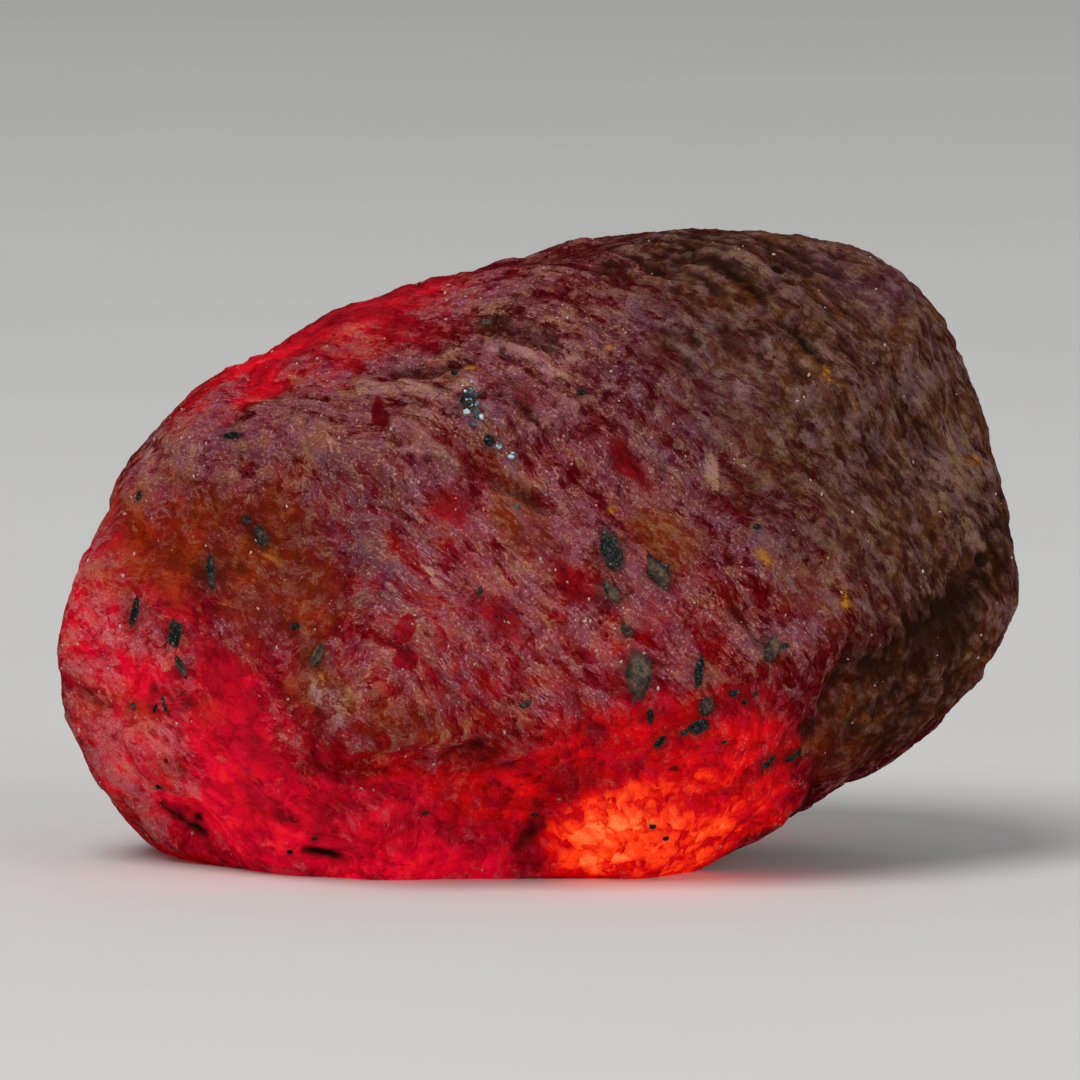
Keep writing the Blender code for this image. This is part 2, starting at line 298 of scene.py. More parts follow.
# Two drops of clear crystal, with smoother edges than the windows.
DROPS = (
    ("upper drop", (-2.13, -4.6, 4.42), (0.19, 1.0, 0.27), -25, 1.5),
    ("lower drop", (-2.11, -4.7, 3.93), (0.22, 1.0, 0.18), 10, 1.5),
)
FLECK = (
    ("bright fleck", (4.82, -2.8, 8.62), (0.18, 0.5, 0.09), -45, 1.2),
    ("upper fleck", (1.05, -2.9, 9.0), (0.19, 0.6, 0.12), 0, 0.85),
    ("brow fleck", (0.0, -3.2, 8.6), (0.19, 0.6, 0.14), -30, 0.9),
    ("brow fleck, left", (-1.0, -3.2, 8.4), (0.18, 0.6, 0.12), 0, 0.95),
    ("middle fleck", (0.12, -4.2, 4.65), (0.17, 0.5, 0.11), -45, 0.7),
    ("above the blade", (1.25, -3.9, 6.2), (0.17, 0.5, 0.13), 0, 0.75),
    ("right patch", (3.85, -4.0, 5.55), (0.2, 0.6, 0.28), 30, 0.75),
    ("right patch, low", (5.1, -3.8, 4.95), (0.13, 0.6, 0.26), 20, 0.95),
    ("right end", (7.1, -1.1, 6.95), (0.22, 0.6, 0.18), 0, 0.7),
    ("scoop fleck", (-4.35, -3.0, 5.55), (0.24, 0.6, 0.26), 0, 0.7),
    ("scoop foot", (-3.35, -4.2, 3.65), (0.20, 0.6, 0.16), 0, 0.8),
    ("scoop head", (-4.85, -2.8, 5.8), (0.2, 0.6, 0.2), 0, 0.6),
    ("keel, left", (-2.6, -4.8, 3.0), (0.3, 0.7, 0.6), 10, 0.55),
    ("keel, middle", (-0.9, -4.5, 3.0), (0.3, 0.7, 0.3), 0, 0.5),
    ("top right", (4.9, -1.8, 9.3), (0.3, 0.9, 0.3), 0, 0.35),
)
TAN = (
    ("pale lens", (2.95, -3.7, 6.85), (0.15, 0.6, 0.36), 15, 0.8),
    ("pale patch", (3.25, -3.25, 8.3), (0.30, 0.7, 0.15), -50, 0.8),
    ("brow lens", (-1.4, -2.6, 8.85), (0.5, 0.7, 0.16), 20, 0.5),
    ("brow lens, left", (-1.9, -3.2, 8.05), (0.5, 0.7, 0.2), 8, 0.5),
    ("top streak", (3.9, -1.4, 10.1), (0.7, 0.8, 0.11), -32, 0.6),
    ("right band", (5.3, -3.2, 6.4), (1.0, 0.8, 0.12), -50, 0.6),
    ("left frost", (-5.55, -2.3, 7.25), (0.28, 0.7, 0.22), 0, 0.8),
    ("left frost, low", (-6.4, -1.0, 6.95), (0.26, 0.7, 0.18), 30, 0.8),
    ("right end patch", (6.75, -1.5, 6.7), (0.7, 1.4, 1.1), -20, 0.8),
    ("right end patch, low", (6.9, -1.6, 5.9), (0.6, 1.4, 0.5), 0, 0.5),
    ("right brow patch", (6.3, -1.4, 8.1), (0.5, 1.2, 0.7), -25, 0.7),
    ("lower frost", (-3.3, -4.4, 2.9), (0.36, 0.7, 0.4), 0, 0.45),
    ("below the groove", (-1.6, -4.2, 5.4), (0.35, 0.7, 0.2), -45, 0.6),
    ("right rim", (7.15, -1.2, 6.9), (0.5, 1.2, 0.5), -60, 0.7),
    ("right band, top", (5.4, -2.9, 7.35), (0.6, 0.9, 0.35), -50, 0.6),
    ("left of the belly", (-3.3, -4.0, 3.2), (0.5, 1.0, 0.42), 20, 0.65),
)

# Finishes where the strongest zone counts, by the name of their attribute.
STRONGEST_ZONES = {
    "pink": PINK,
    "plum": PLUM,
    "veil": VEIL,
    "crust": CRUST,
    "rust": RUST,
    "shade": SHADE,
    "fleck": FLECK,
    "tan": TAN,
}

# Fine folds and creases of the front: name, places across and up, width, and height (less than 0: sunk).
FOLDS = (
    ("seam", ((-2.48, 7.43), (-2.19, 7.28), (-1.93, 7.34), (-1.44, 7.25), (-1.32, 7.05)), 0.08, 0.07),
    ("brow fold", ((-0.95, 8.95), (-0.47, 8.96), (-0.13, 8.78), (0.21, 8.52), (0.44, 8.44)), 0.12, 0.09),
    ("brow crease", ((-2.3, 8.45), (-1.67, 8.55), (-1.32, 8.60), (-1.06, 8.75), (-0.91, 8.93)), 0.09, -0.08),
    ("brow lip", ((-2.9, 8.2), (-2.2, 8.25), (-1.5, 8.15), (-1.1, 8.35)), 0.13, 0.08),
    ("branch", ((0.13, 7.69), (0.54, 7.95), (0.82, 8.06), (1.2, 8.3)), 0.09, 0.06),
    ("diagonal groove", ((-1.1, 7.2), (-0.88, 6.90), (-0.47, 6.64), (-0.16, 6.46), (0.1, 6.25)), 0.12, -0.05),
    ("groove rim", ((-0.5, 7.0), (-0.1, 6.75), (0.25, 6.5), (0.5, 6.3)), 0.12, 0.06),
    ("top streak", ((3.29, 10.38), (3.69, 10.13), (4.32, 9.65), (4.9, 9.1)), 0.11, 0.07),
    ("below the top streak", ((3.0, 10.1), (3.6, 9.75), (4.2, 9.2), (4.7, 8.6)), 0.14, -0.05),
    ("right band", ((2.3, 8.9), (3.4, 7.9), (4.4, 6.7), (5.2, 5.7)), 0.15, 0.03),
    ("right band, low", ((1.9, 8.3), (3.0, 7.1), (3.9, 6.1), (4.6, 5.3)), 0.16, -0.04),
    ("left fold", ((-6.3, 7.2), (-5.3, 7.25), (-4.2, 7.15), (-3.3, 7.35)), 0.12, 0.04),
    ("left crease", ((-6.2, 7.0), (-5.2, 7.05), (-4.3, 6.9)), 0.12, -0.03),
    ("window edge", ((-5.2, 4.4), (-4.5, 3.5), (-4.1, 2.6), (-3.7, 1.6)), 0.14, 0.03),
    ("window edge, left", ((-5.6, 3.6), (-5.3, 2.6), (-5.1, 1.6)), 0.14, 0.02),
    ("left pit", ((-7.6, 3.1), (-7.35, 2.85), (-7.1, 2.75)), 0.16, -0.05),
    ("left crevice", ((-6.25, 1.0), (-5.95, 0.8), (-5.6, 0.55)), 0.14, -0.07),
    ("heel fold", ((-6.9, 2.4), (-6.4, 1.7), (-5.9, 1.2)), 0.14, 0.03),
    ("hollow", ((-0.35, 0.5), (-0.15, 0.75), (0.1, 1.0)), 0.15, -0.06),
    ("cleft", ((-3.9, 0.42), (-3.5, 0.38), (-3.1, 0.30)), 0.12, -0.07),
    ("furrow", ((5.3, 4.35), (5.0, 3.75), (4.75, 3.3)), 0.16, -0.04),
    ("keel lip", ((-3.0, 2.5), (-1.9, 2.75), (-0.8, 2.72), (0.2, 2.95)), 0.16, 0.03),
    ("right dent", ((5.9, 8.2), (6.2, 7.7), (6.6, 7.2)), 0.22, -0.07),
    ("right end crease", ((5.5, 3.9), (6.4, 4.45), (7.2, 4.95)), 0.38, -0.05),
)

# Dark mineral grains of the front: name, place across and up, length and width, the turn of the length
# from level in degrees, how square the outline is (2 is an oval), and how pale the grain is.
FRONT_GRAINS = (
    ("brow blade", -5.00, 7.37, 0.62, 0.13, 4, 1.5, 0.15),
    ("left speck", -6.58, 6.29, 0.20, 0.12, 90, 2.4, 0.2),
    ("scoop head", -4.76, 6.02, 0.22, 0.16, -30, 2.2, 0.3),
    ("scoop body", -4.52, 5.76, 0.42, 0.24, -60, 2.0, 0.5),
    ("upright bar", -5.36, 5.14, 0.66, 0.20, 96, 2.0, 0.35),
    ("left bar", -6.64, 4.40, 0.62, 0.17, 76, 1.8, 0.2),
    ("left lump", -5.95, 4.10, 0.48, 0.28, 96, 2.6, 0.2),
    ("blue dot", -3.95, 4.34, 0.17, 0.15, 0, 2.4, 0.2),
    ("right of the scoop", -3.58, 3.92, 0.44, 0.26, 70, 2.2, 0.8),
    ("left tail", -5.86, 3.57, 0.46, 0.16, -62, 1.6, 0.75),
    ("small dot", -6.67, 2.84, 0.14, 0.12, 0, 2.4, 0.7),
    ("slash, left", -6.30, 2.83, 0.20, 0.08, 60, 1.6, 0.1),
    ("slash, right", -6.13, 2.89, 0.42, 0.08, -68, 1.6, 0.1),
    ("heel dot", -6.27, 1.43, 0.13, 0.11, 0, 2.4, 0.2),
    ("cleft dot", -3.67, 0.72, 0.15, 0.12, 20, 2.4, 0.2),
    ("cleft dot, left", -4.08, 0.45, 0.12, 0.10, 0, 2.4, 0.2),
    ("belly dot", -1.83, 1.24, 0.14, 0.09, 30, 2.4, 0.2),
    ("heart dot", -0.03, 1.17, 0.14, 0.12, 0, 2.4, 0.2),
    ("keel sliver", -0.18, 3.21, 0.26, 0.12, 30, 1.7, 0.7),
    ("grey oval", 1.665, 3.69, 0.86, 0.46, 88, 1.7, 1.15),
    ("keel blade", 2.64, 3.71, 0.62, 0.16, 84, 1.7, 0.15),
    ("keel grey", 2.76, 3.14, 0.40, 0.26, 78, 2.0, 0.5),
    ("keel lump", 2.64, 2.78, 0.39, 0.29, 24, 2.4, 0.2),
    ("keel tail", 2.40, 2.69, 0.17, 0.12, 30, 2.4, 0.2),
    ("right pair", 3.20, 3.36, 0.22, 0.13, 20, 2.4, 0.2),
    ("right pair, small", 3.38, 3.20, 0.13, 0.09, 10, 2.4, 0.2),
    ("right dot", 3.56, 3.33, 0.12, 0.09, 0, 2.4, 0.2),
    ("red bar", 1.845, 2.97, 0.34, 0.13, 84, 2.4, 0.2),
    ("red lump", 2.005, 2.52, 0.32, 0.15, 50, 2.4, 0.2),
    ("red dot", 3.05, 2.51, 0.11, 0.10, 0, 2.4, 0.2),
    ("low pair, left", 3.80, 2.06, 0.36, 0.17, 35, 2.4, 0.1),
    ("low pair, right", 4.22, 2.09, 0.33, 0.18, 55, 2.2, 0.1),
    ("long diamond", 1.22, 5.65, 0.86, 0.40, -72, 1.5, 0.15),
    ("diamond foot", 1.22, 4.97, 0.48, 0.22, -62, 1.7, 0.75),
    ("grey diamond", 1.98, 5.28, 0.70, 0.36, -66, 1.4, 0.75),
    ("right grey", 3.83, 4.05, 0.50, 0.26, 72, 2.0, 0.85),
    ("right speck", 3.59, 6.01, 0.15, 0.11, 0, 2.4, 0.2),
    ("lower sliver", 1.465, 4.36, 0.32, 0.17, -60, 1.6, 0.85),
    ("green sliver", -0.93, 4.98, 0.22, 0.10, 80, 1.6, 0.5),
    ("upper grain", -0.82, 9.23, 0.26, 0.16, 10, 2.0, 0.5),
    ("bed of the facets", -1.13, 8.02, 0.42, 0.30, -70, 2.4, 0.2),
    ("bed of the facets, low", -0.78, 7.42, 0.24, 0.18, -40, 2.4, 0.2),
    ("upper dot", -1.34, 8.47, 0.18, 0.13, 0, 2.4, 0.2),
    ("upper right dot", 0.72, 8.16, 0.18, 0.15, 0, 2.4, 0.2),
    ("notch by the right grey", 4.03, 4.12, 0.15, 0.10, 10, 2.2, 0.1),
    ("heart fleck", 1.90, 1.00, 0.13, 0.11, 0, 2.4, 0.2),
    ("heart fleck, low", 2.12, 0.78, 0.12, 0.10, 0, 2.4, 0.2),
)

# Grains of the sides and back. Chance draws, in this order: bearing from straight behind in degrees, rise,
# place along the stone, length, width for its length, turn in degrees, and corners. Their middle height
# and paleness are set, and their seeds start past those of the front.
HIDDEN_GRAINS = 30
HIDDEN_RANGES = ((-75, 75), (-0.4, 0.9), (-4, 4), (0.15, 0.6), (0.3, 0.7), (0, 180), (1.4, 3.0))
HIDDEN_MIDDLE = 5.2
HIDDEN_PALE = 0.2
HIDDEN_SEED = 100

# Blue-white facets in a line below the brow: place across and up, spread, and how many. Chance scatters
# them by these shares of the spread, across and up.
BRIGHT_FACETS = (
    (-1.10, 8.04, 0.20, 20),
    (-0.96, 7.80, 0.11, 5),
    (-0.67, 7.36, 0.10, 5),
    (-0.39, 7.22, 0.08, 3),
    (-0.31, 6.36, 0.03, 1),
)
FACET_SCATTER = (0.38, 0.55)
FACET_RADIUS = (0.022, 0.070)
FACET_FLATNESS = 0.6
FACET_STRETCH = (0.7, 1.5)


def colour_setting(name, description, default):
    return FloatVectorProperty(name=name, description=description, subtype="COLOR", default=default)


def length_setting(name, description, default):
    """A length in metres, with its default given as a bench length."""
    return FloatProperty(name=name, description=description, default=default * MM, unit="LENGTH", precision=6)


def relief_setting(name, description):
    return length_setting(name, description, RELIEF[name])


class RubySizes(bpy.types.PropertyGroup):
    """Sizes of the stone's surface forms."""

    grain: length_setting("Mesh grain", "Edge length of the finished surface's mesh", 0.071)
    ledge_height: relief_setting("Ledge height", "Height of the steps where the crystal has parted")
    ledge_pitch: relief_setting("Ledge pitch", "Distance between parting steps")
    ripple_height: relief_setting("Ripple height", "Height of the ripples along the parting")
    pit_depth: relief_setting("Pit depth", "Depth of the small pits")
    crust_height: relief_setting("Crust height", "Height of the grains in the brown crust")
    # The sparkle grains are painted glints: small pale grains standing in for tiny highlights.
    sparkle_size: length_setting("Sparkle size", "Size of the pale grains caught in the skin", 0.028)
    sparkle_density: FloatProperty(
        name="Sparkle density", description="Pale grains on each square millimetre", default=6.0, min=0.0
    )
    seed: IntProperty(name="Seed", description="Changes what is scattered by chance", default=7)


class RubyColours(bpy.types.PropertyGroup):
    """Colours of the stone's finishes."""

    gem: colour_setting("Gem red", "Clear crystal", (0.170, 0.003, 0.007))
    gem_dark: colour_setting("Deep red", "Clear crystal where it is deep", (0.060, 0.001, 0.003))
    veil: colour_setting("Veil", "Frosted skin", (0.285, 0.098, 0.106))
    blush: colour_setting("Blush", "Thinly frosted skin", (0.230, 0.045, 0.056))
    plum: colour_setting("Plum", "Frosted skin over deep crystal", (0.150, 0.062, 0.076))
    tan: colour_setting("Tan skin", "Frosted skin with clay in it", (0.310, 0.130, 0.092))
    # The thread colour also paints the glint specks on the skin.
    thread: colour_setting("Thread", "Pale threads and grains of sand", (0.440, 0.235, 0.190))
    rust: colour_setting("Rust", "Iron stain", (0.140, 0.016, 0.004))
    umber: colour_setting("Umber", "Brown stain in the crust", (0.138, 0.046, 0.017))
    rust_light: colour_setting("Light rust", "Iron stain where it is ochre", (0.205, 0.058, 0.007))
    crust: colour_setting("Crust", "Brown crust", (0.098, 0.044, 0.027))
    cool_cast: colour_setting("Cool cast", "Multiplies the cooler flakes", (0.97, 0.89, 1.16))
    warm_cast: colour_setting("Warm cast", "Multiplies the warmer flakes", (1.06, 1.05, 0.78))
    crust_dark: colour_setting("Dark crust", "Hollows of the crust", (0.030, 0.010, 0.005))
    crust_light: colour_setting("Light crust", "Crests of the crust", (0.205, 0.117, 0.093))
    ochre: colour_setting("Ochre", "Yellow flecks", (0.560, 0.230, 0.012))
    # Shade is mostly painted shade, for hollows, creases, pits and undersides, and partly dirt in the
    # crevices.
    shade: colour_setting("Shade", "Dirt in the crevices", (0.018, 0.006, 0.003))
    # The glow colours are painted glow, given as emission; milk is frosted skin painted as if lit from
    # behind.
    glow_red: colour_setting("Glow red", "Inner light in the red parts", (0.700, 0.001, 0.002))
    glow_pink: colour_setting("Glow pink", "Inner light in the pink parts", (0.660, 0.001, 0.020))
    glow_orange: colour_setting("Glow orange", "Inner light in the hot part", (0.950, 0.050, 0.005))
    ember: colour_setting("Ember", "Hottest inner light", (1.000, 0.210, 0.055))
    milk: colour_setting("Milk", "Frosted skin with light behind it", (0.480, 0.050, 0.060))
    grain: colour_setting("Dark grain", "Dark mineral grains", (0.005, 0.007, 0.006))
    grain_green: colour_setting("Green grain", "Dark grains where they are green-grey", (0.018, 0.026, 0.023))
    # Glint and cleavage paint glints into the dark grains' colour.
    glint: colour_setting("Glint", "Fine glints in the dark grains", (0.085, 0.125, 0.125))
    cleavage: colour_setting("Cleavage", "Bright specks in the dark grains", (0.20, 0.27, 0.30))
    clay_dark: colour_setting("Dark clay", "Pale middles of grains, in their hollows", (0.040, 0.028, 0.020))
    clay: colour_setting("Clay", "Pale middles of grains", (0.155, 0.098, 0.070))
    creep: colour_setting("Creeping skin", "Skin over the rims of the dark grains", (0.110, 0.036, 0.028))
    # Sand colours are the painted glint grains' darker and paler tones.
    sand_dark: colour_setting("Dark sand", "Darker sand-like grains", (0.38, 0.19, 0.16))
    sand: colour_setting("Sand", "Paler sand-like grains", (0.60, 0.46, 0.40))
    # Facet colours paint glint and shade: dark for facets in shade, bright for those catching the light.
    facet_dark: colour_setting("Dark facet", "Bright facets in their shade", (0.012, 0.030, 0.040))
    facet_dull: colour_setting("Dull facet", "Bright facets that are dull", (0.10, 0.20, 0.25))
    facet: colour_setting("Facet", "Bright facets at their brightest", (0.58, 0.74, 0.80))


class RubyStage(bpy.types.PropertyGroup):
    """The floor, the lights and the camera."""

    floor: colour_setting("Floor", "Colour of the floor", (0.74, 0.73, 0.71))
    key: FloatProperty(name="Key light", description="Power of the main lamp", default=1.55, unit="POWER")
    fill: FloatProperty(name="Fill light", description="Power of the second lamp", default=0.85, unit="POWER")
    sky: FloatProperty(name="Sky", description="Strength of the light from all round", default=0.32)
    distance: FloatProperty(
        name="Camera distance", description="From the camera to the stone", default=0.18, unit="LENGTH"
    )
    elevation: FloatProperty(
        name="Camera elevation",
        description="Angle of the camera above level",
        default=math.radians(5.5),
        subtype="ANGLE",
    )


class Wiring:
    """Adds nodes to a shader or geometry tree and joins them. Each call gives back an output socket."""

    def __init__(self, tree):
        self.tree = tree

    def add(self, kind, inputs=None, **settings):
        node = self.tree.nodes.new(kind)
        for name, value in settings.items():
            setattr(node, name, value)
        self.feed(node, inputs or {})
        return node

    def feed(self, node, inputs):
        for key, value in inputs.items():
            self.join(value, node.inputs[key])

    def join(self, value, socket):
        if isinstance(value, bpy.types.NodeSocket):
            self.tree.links.new(value, socket)
        else:
            socket.default_value = value

    def maths(self, operation, *values, clamp=False):
        node = self.add("ShaderNodeMath", dict(enumerate(values)), operation=operation, use_clamp=clamp)
        return node.outputs[0]

    def total(self, *values):
        result = values[0]
        for value in values[1:]:
            result = self.maths("ADD", result, value)
        return result

    def product(self, *values):
        result = values[0]
        for value in values[1:]:
            result = self.maths("MULTIPLY", result, value)
        return result

    def vector(self, operation, *values):
        node = self.add("ShaderNodeVectorMath", dict(enumerate(values)), operation=operation)
        return node.outputs["Value" if operation == "DOT_PRODUCT" else "Vector"]

    def scaled(self, vector, factor):
        node = self.add("ShaderNodeVectorMath", {0: vector, "Scale": factor}, operation="SCALE")
        return node.outputs["Vector"]

    def ramped(self, value, low, high, start=0.0, end=1.0):
        inputs = {"Value": value, "From Min": low, "From Max": high, "To Min": start, "To Max": end}
        node = self.add("ShaderNodeMapRange", inputs, interpolation_type="SMOOTHSTEP")
        return node.outputs["Result"]

    def noise(self, place, scale, detail=2.0, roughness=0.5, out="Fac"):
        inputs = {"Vector": place, "Scale": scale, "Detail": detail, "Roughness": roughness}
        return self.add("ShaderNodeTexNoise", inputs).outputs[out]

    def cells(self, place, scale):
        return self.add("ShaderNodeTexVoronoi", {"Vector": place, "Scale": scale}).outputs

    def xyz(self, **parts):
        return self.add("ShaderNodeCombineXYZ", parts).outputs[0]

    def height_of(self, place):
        return self.add("ShaderNodeSeparateXYZ", {0: place}).outputs["Z"]

    def lot(self, cells):
        """A random number for each cell."""
        return self.add("ShaderNodeSeparateColor", {0: cells["Color"]}).outputs["Red"]

    def mixed(self, share, under, over, blend="MIX"):
        node = self.add("ShaderNodeMix", data_type="RGBA", blend_type=blend, clamp_factor=True)
        self.join(share, node.inputs["Factor"])
        self.join(colour(under), node.inputs[6])
        self.join(colour(over), node.inputs[7])
        return node.outputs[2]

    def layered(self, base, *layers):
        """The base colour under further layers, each given as its share and its colour."""
        for share, over in layers:
            base = self.mixed(share, base, over)
        return base

    def weighted(self, *pairs):
        """The sum of values, each times its weight."""
        return self.total(*[self.product(value, weight) for value, weight in pairs])

    def without(self, *factors, clamp=False):
        """One less the product of the factors."""
        return self.maths("SUBTRACT", 1.0, self.product(*factors), clamp=clamp)

    def centred(self, value):
        return self.maths("SUBTRACT", value, 0.5)

    def thin_lines(self, value, level, width):
        """Lines where the value passes a level."""
        gap = self.maths("ABSOLUTE", self.maths("SUBTRACT", value, level))
        return self.ramped(gap, 0.0, width, 1.0, 0.0)

    def stretched(self, flow, stretch):
        """The flow squeezed across the parting, so that a pattern draws out along it."""
        return self.vector("MULTIPLY", flow, self.xyz(X=1.0, Y=1.0, Z=stretch))

    def along_parting(self, place, stretch):
        """Place in the parting's own directions, squeezed across it so that a pattern draws out along it."""
        ways = zip("XYZ", (PARTING_LENGTHWISE, PARTING_CROSSWISE, PARTING_NORMAL))
        parts = {axis: self.vector("DOT_PRODUCT", place, tuple(way)) for axis, way in ways}
        parts["Z"] = self.maths("MULTIPLY", parts["Z"], stretch)
        return self.xyz(**parts)


def colour(value):
    """Three channels become four. A socket passes through."""
    if isinstance(value, bpy.types.NodeSocket):
        return value
    return (*tuple(value)[:3], 1.0)


def new_group(name, kind, inputs, outputs):
    """A node group with these sockets, each given as (name, socket type, default)."""
    tree = bpy.data.node_groups.new(name, kind)
    for direction, sockets in (("INPUT", inputs), ("OUTPUT", outputs)):
        for socket_name, socket_type, *default in sockets:
            socket = tree.interface.new_socket(name=socket_name, in_out=direction, socket_type=socket_type)
            if default:
                socket.default_value = default[0]
    return tree, tree.nodes.new("NodeGroupInput").outputs, tree.nodes.new("NodeGroupOutput").inputs


def set_input(modifier, name, value):
    """Sets a node modifier's input, found by its name and set by its identifier."""
    for item in modifier.node_group.interface.items_tree:
        if item.item_type == "SOCKET" and item.in_out == "INPUT" and item.name == name:
            modifier[item.identifier] = value
            return
    raise KeyError(name)


def new_object(name, data):
    made = bpy.data.objects.new(name, data)
    bpy.context.scene.collection.objects.link(made)
    return made


def mesh_from(name, form):
    """A mesh made from a bmesh, which is freed."""
    mesh = bpy.data.meshes.new(name)
    form.to_mesh(mesh)
    form.free()
    return mesh


def settled(made):
    """The object with its modifiers applied, as a plain mesh."""
    graph = bpy.context.evaluated_depsgraph_get()
    mesh = bpy.data.meshes.new_from_object(made.evaluated_get(graph))
    old = made.data
    made.modifiers.clear()
    made.data = mesh
    mesh.name = made.name
    bpy.data.meshes.remove(old)
    return made


def points_of(mesh):
    points = np.empty(len(mesh.vertices) * 3)
    mesh.vertices.foreach_get("co", points)
    return points.reshape(-1, 3)


def set_points(mesh, points):
    mesh.vertices.foreach_set("co", np.ascontiguousarray(points).ravel())
    mesh.update()


def zone_strength(points, zones, gather):
    """How strongly the zones cover each point: the sum of them, or the strongest one."""
    result = np.zeros(len(points))
    for _, middle, half_sizes, turn, strength in zones:
        offset = points - np.array(middle)
        c, s = math.cos(math.radians(turn)), math.sin(math.radians(turn))
        along = (c * offset[:, 0] + s * offset[:, 2]) / half_sizes[0]
        deep = offset[:, 1] / half_sizes[1]
        up = (c * offset[:, 2] - s * offset[:, 0]) / half_sizes[2]
        cover = strength * np.clip(1 - (along**2 + deep**2 + up**2), 0, 1) ** ZONE_FALL
        result = result + cover if gather == "sum" else np.maximum(result, cover)
    return np.clip(result, 0, LIGHT_LIMIT) if gather == "sum" else result


def add_attribute(mesh, name, values):
    layer = mesh.attributes.new(name, "FLOAT", "POINT")
    layer.data.foreach_set("value", np.ascontiguousarray(values, dtype=np.float32))


def bent_places(points, reach, pitch):
    """The points moved by smooth noise, so that a zone read at them has a natural outline."""
    moved = [noise.noise_vector(Vector(point) / pitch) for point in points]
    return points + reach * np.array(moved)


def gap_to_line(seen, places):
    """Distance in the front view from each point to a line through the places."""
    result = np.full(len(seen), np.inf)
    for start, end in zip(places, places[1:]):
        start, step = np.array(start), np.subtract(end, start)
        share = np.clip(((seen - start) @ step) / (step @ step), 0, 1)
        result = np.minimum(result, np.hypot(*(seen - start - share[:, None] * step).T))
    return result


def fold_height(points):
    """Height of the fine folds of the front at each point."""
    seen = points[:, (0, 2)]
    result = np.zeros(len(points))
    for _, places, width, height in FOLDS:
        result += height * np.exp(-((gap_to_line(seen, places) / width) ** 2))
    return np.where(points[:, 1] < 0, result, 0)


def halo_strength(points):
    """Shade round the dark grains, which stain the stone beside them."""
    seen = points[:, (0, 2)]
    result = np.zeros(len(points))
    for _, across, up, length, width, *_ in FRONT_GRAINS:
        radius = 0.5 * length + HALO_REACH
        gap = np.hypot(seen[:, 0] - across, seen[:, 1] - up) / radius
        result = np.maximum(result, np.clip(1 - gap, 0, 1) * min(1.0, width / HALO_FULL_WIDTH))
    return np.where(points[:, 1] < 0, result, 0)


def new_geometry_tree(name, inputs):
    """A geometry node tree that takes and gives one geometry, with these further inputs."""
    geometry = ("Geometry", "NodeSocketGeometry")
    tree, given, result = new_group(name, "GeometryNodeTree", [geometry, *inputs], [geometry])
    return tree, Wiring(tree), given, result["Geometry"]


def dress(w, geometry, material, result):
    """The last nodes of a geometry tree: real geometry, with its material."""
    whole = w.add("GeometryNodeRealizeInstances", {"Geometry": geometry}).outputs[0]
    dressed = w.add("GeometryNodeSetMaterial", {"Geometry": whole, "Material": material})
    w.join(dressed.outputs[0], result)


def relief_tree():
    """Geometry nodes that wear the plain stone: parting ledges, ripples, pits and crust grains."""
    inputs = [(name, "NodeSocketFloat", default) for name, default in RELIEF.items()]
    tree, w, given, result = new_geometry_tree("stone_relief", [*inputs, ("Stone", "NodeSocketMaterial")])
    place = w.add("GeometryNodeInputPosition").outputs[0]
    normal = w.add("GeometryNodeInputNormal").outputs[0]
    crust, rust, fold = (named_field(w, name) for name in ("crust", "rust", "fold"))
    slow, quick = w.noise(place, 0.42, 2, out="Color"), w.noise(place, 1.7, 1, out="Color")
    slow, quick = (w.vector("SUBTRACT", drift, (0.5, 0.5, 0.5)) for drift in (slow, quick))
    bent = w.vector("ADD", place, w.vector("ADD", w.scaled(slow, 0.8), w.scaled(quick, 0.12)))
    flow = w.along_parting(bent, 1.0)

    patch = w.noise(w.stretched(flow, 3.6), 0.85, 4, 0.6)
    cloud = w.noise(place, 1.25, 4, 0.6)
    ledge = ledge_field(w, bent, given["Ledge pitch"])
    calm = w.ramped(rust, 0.2, 0.9, 1.0, 0.3)
    ripple = w.centred(w.noise(w.stretched(flow, 3.0), 1.0, 3, 0.5))
    fine = w.centred(w.noise(w.stretched(flow, 2.6), 2.8, 2, 0.55))
    swell = w.centred(w.noise(place, 0.75, 3, 0.5))
    pit = pit_field(w, bent)
    clod = w.centred(w.noise(w.stretched(flow, 1.5), 2.1, 3, 0.55))

    height = w.total(
        w.product(ledge, given["Ledge height"], calm),
        w.product(ripple, given["Ripple height"], 2.0, calm),
        w.product(fine, given["Ripple height"], 0.8, calm),
        w.product(swell, given["Ripple height"], 2.2),
        w.product(clod, given["Crust height"], 2.0, crust),
        w.product(pit, given["Pit depth"], -1.0),
        fold,
    )
    # The relief fades out towards the base, which stays flat.
    height = w.product(height, w.ramped(w.height_of(place), 0.02, 0.45))
    offset = w.scaled(normal, height)
    kept = w.add("GeometryNodeSetPosition", {"Geometry": given["Geometry"], "Offset": offset}).outputs[0]
    for name, field in (("pit", pit), ("patch", patch), ("cloud", cloud), ("flow", flow)):
        kind = "FLOAT_VECTOR" if name == "flow" else "FLOAT"
        store = w.add("GeometryNodeStoreNamedAttribute", {"Geometry": kept, "Name": name}, data_type=kind)
        w.join(field, next(s for s in store.inputs if s.name == "Value" and s.enabled))
        kept = store.outputs[0]
    dress(w, kept, given["Stone"], result)
    return tree


def named_field(w, name):
    node = w.add("GeometryNodeInputNamedAttribute", {"Name": name}, data_type="FLOAT")
    return next(s for s in node.outputs if s.name == "Attribute" and s.enabled)


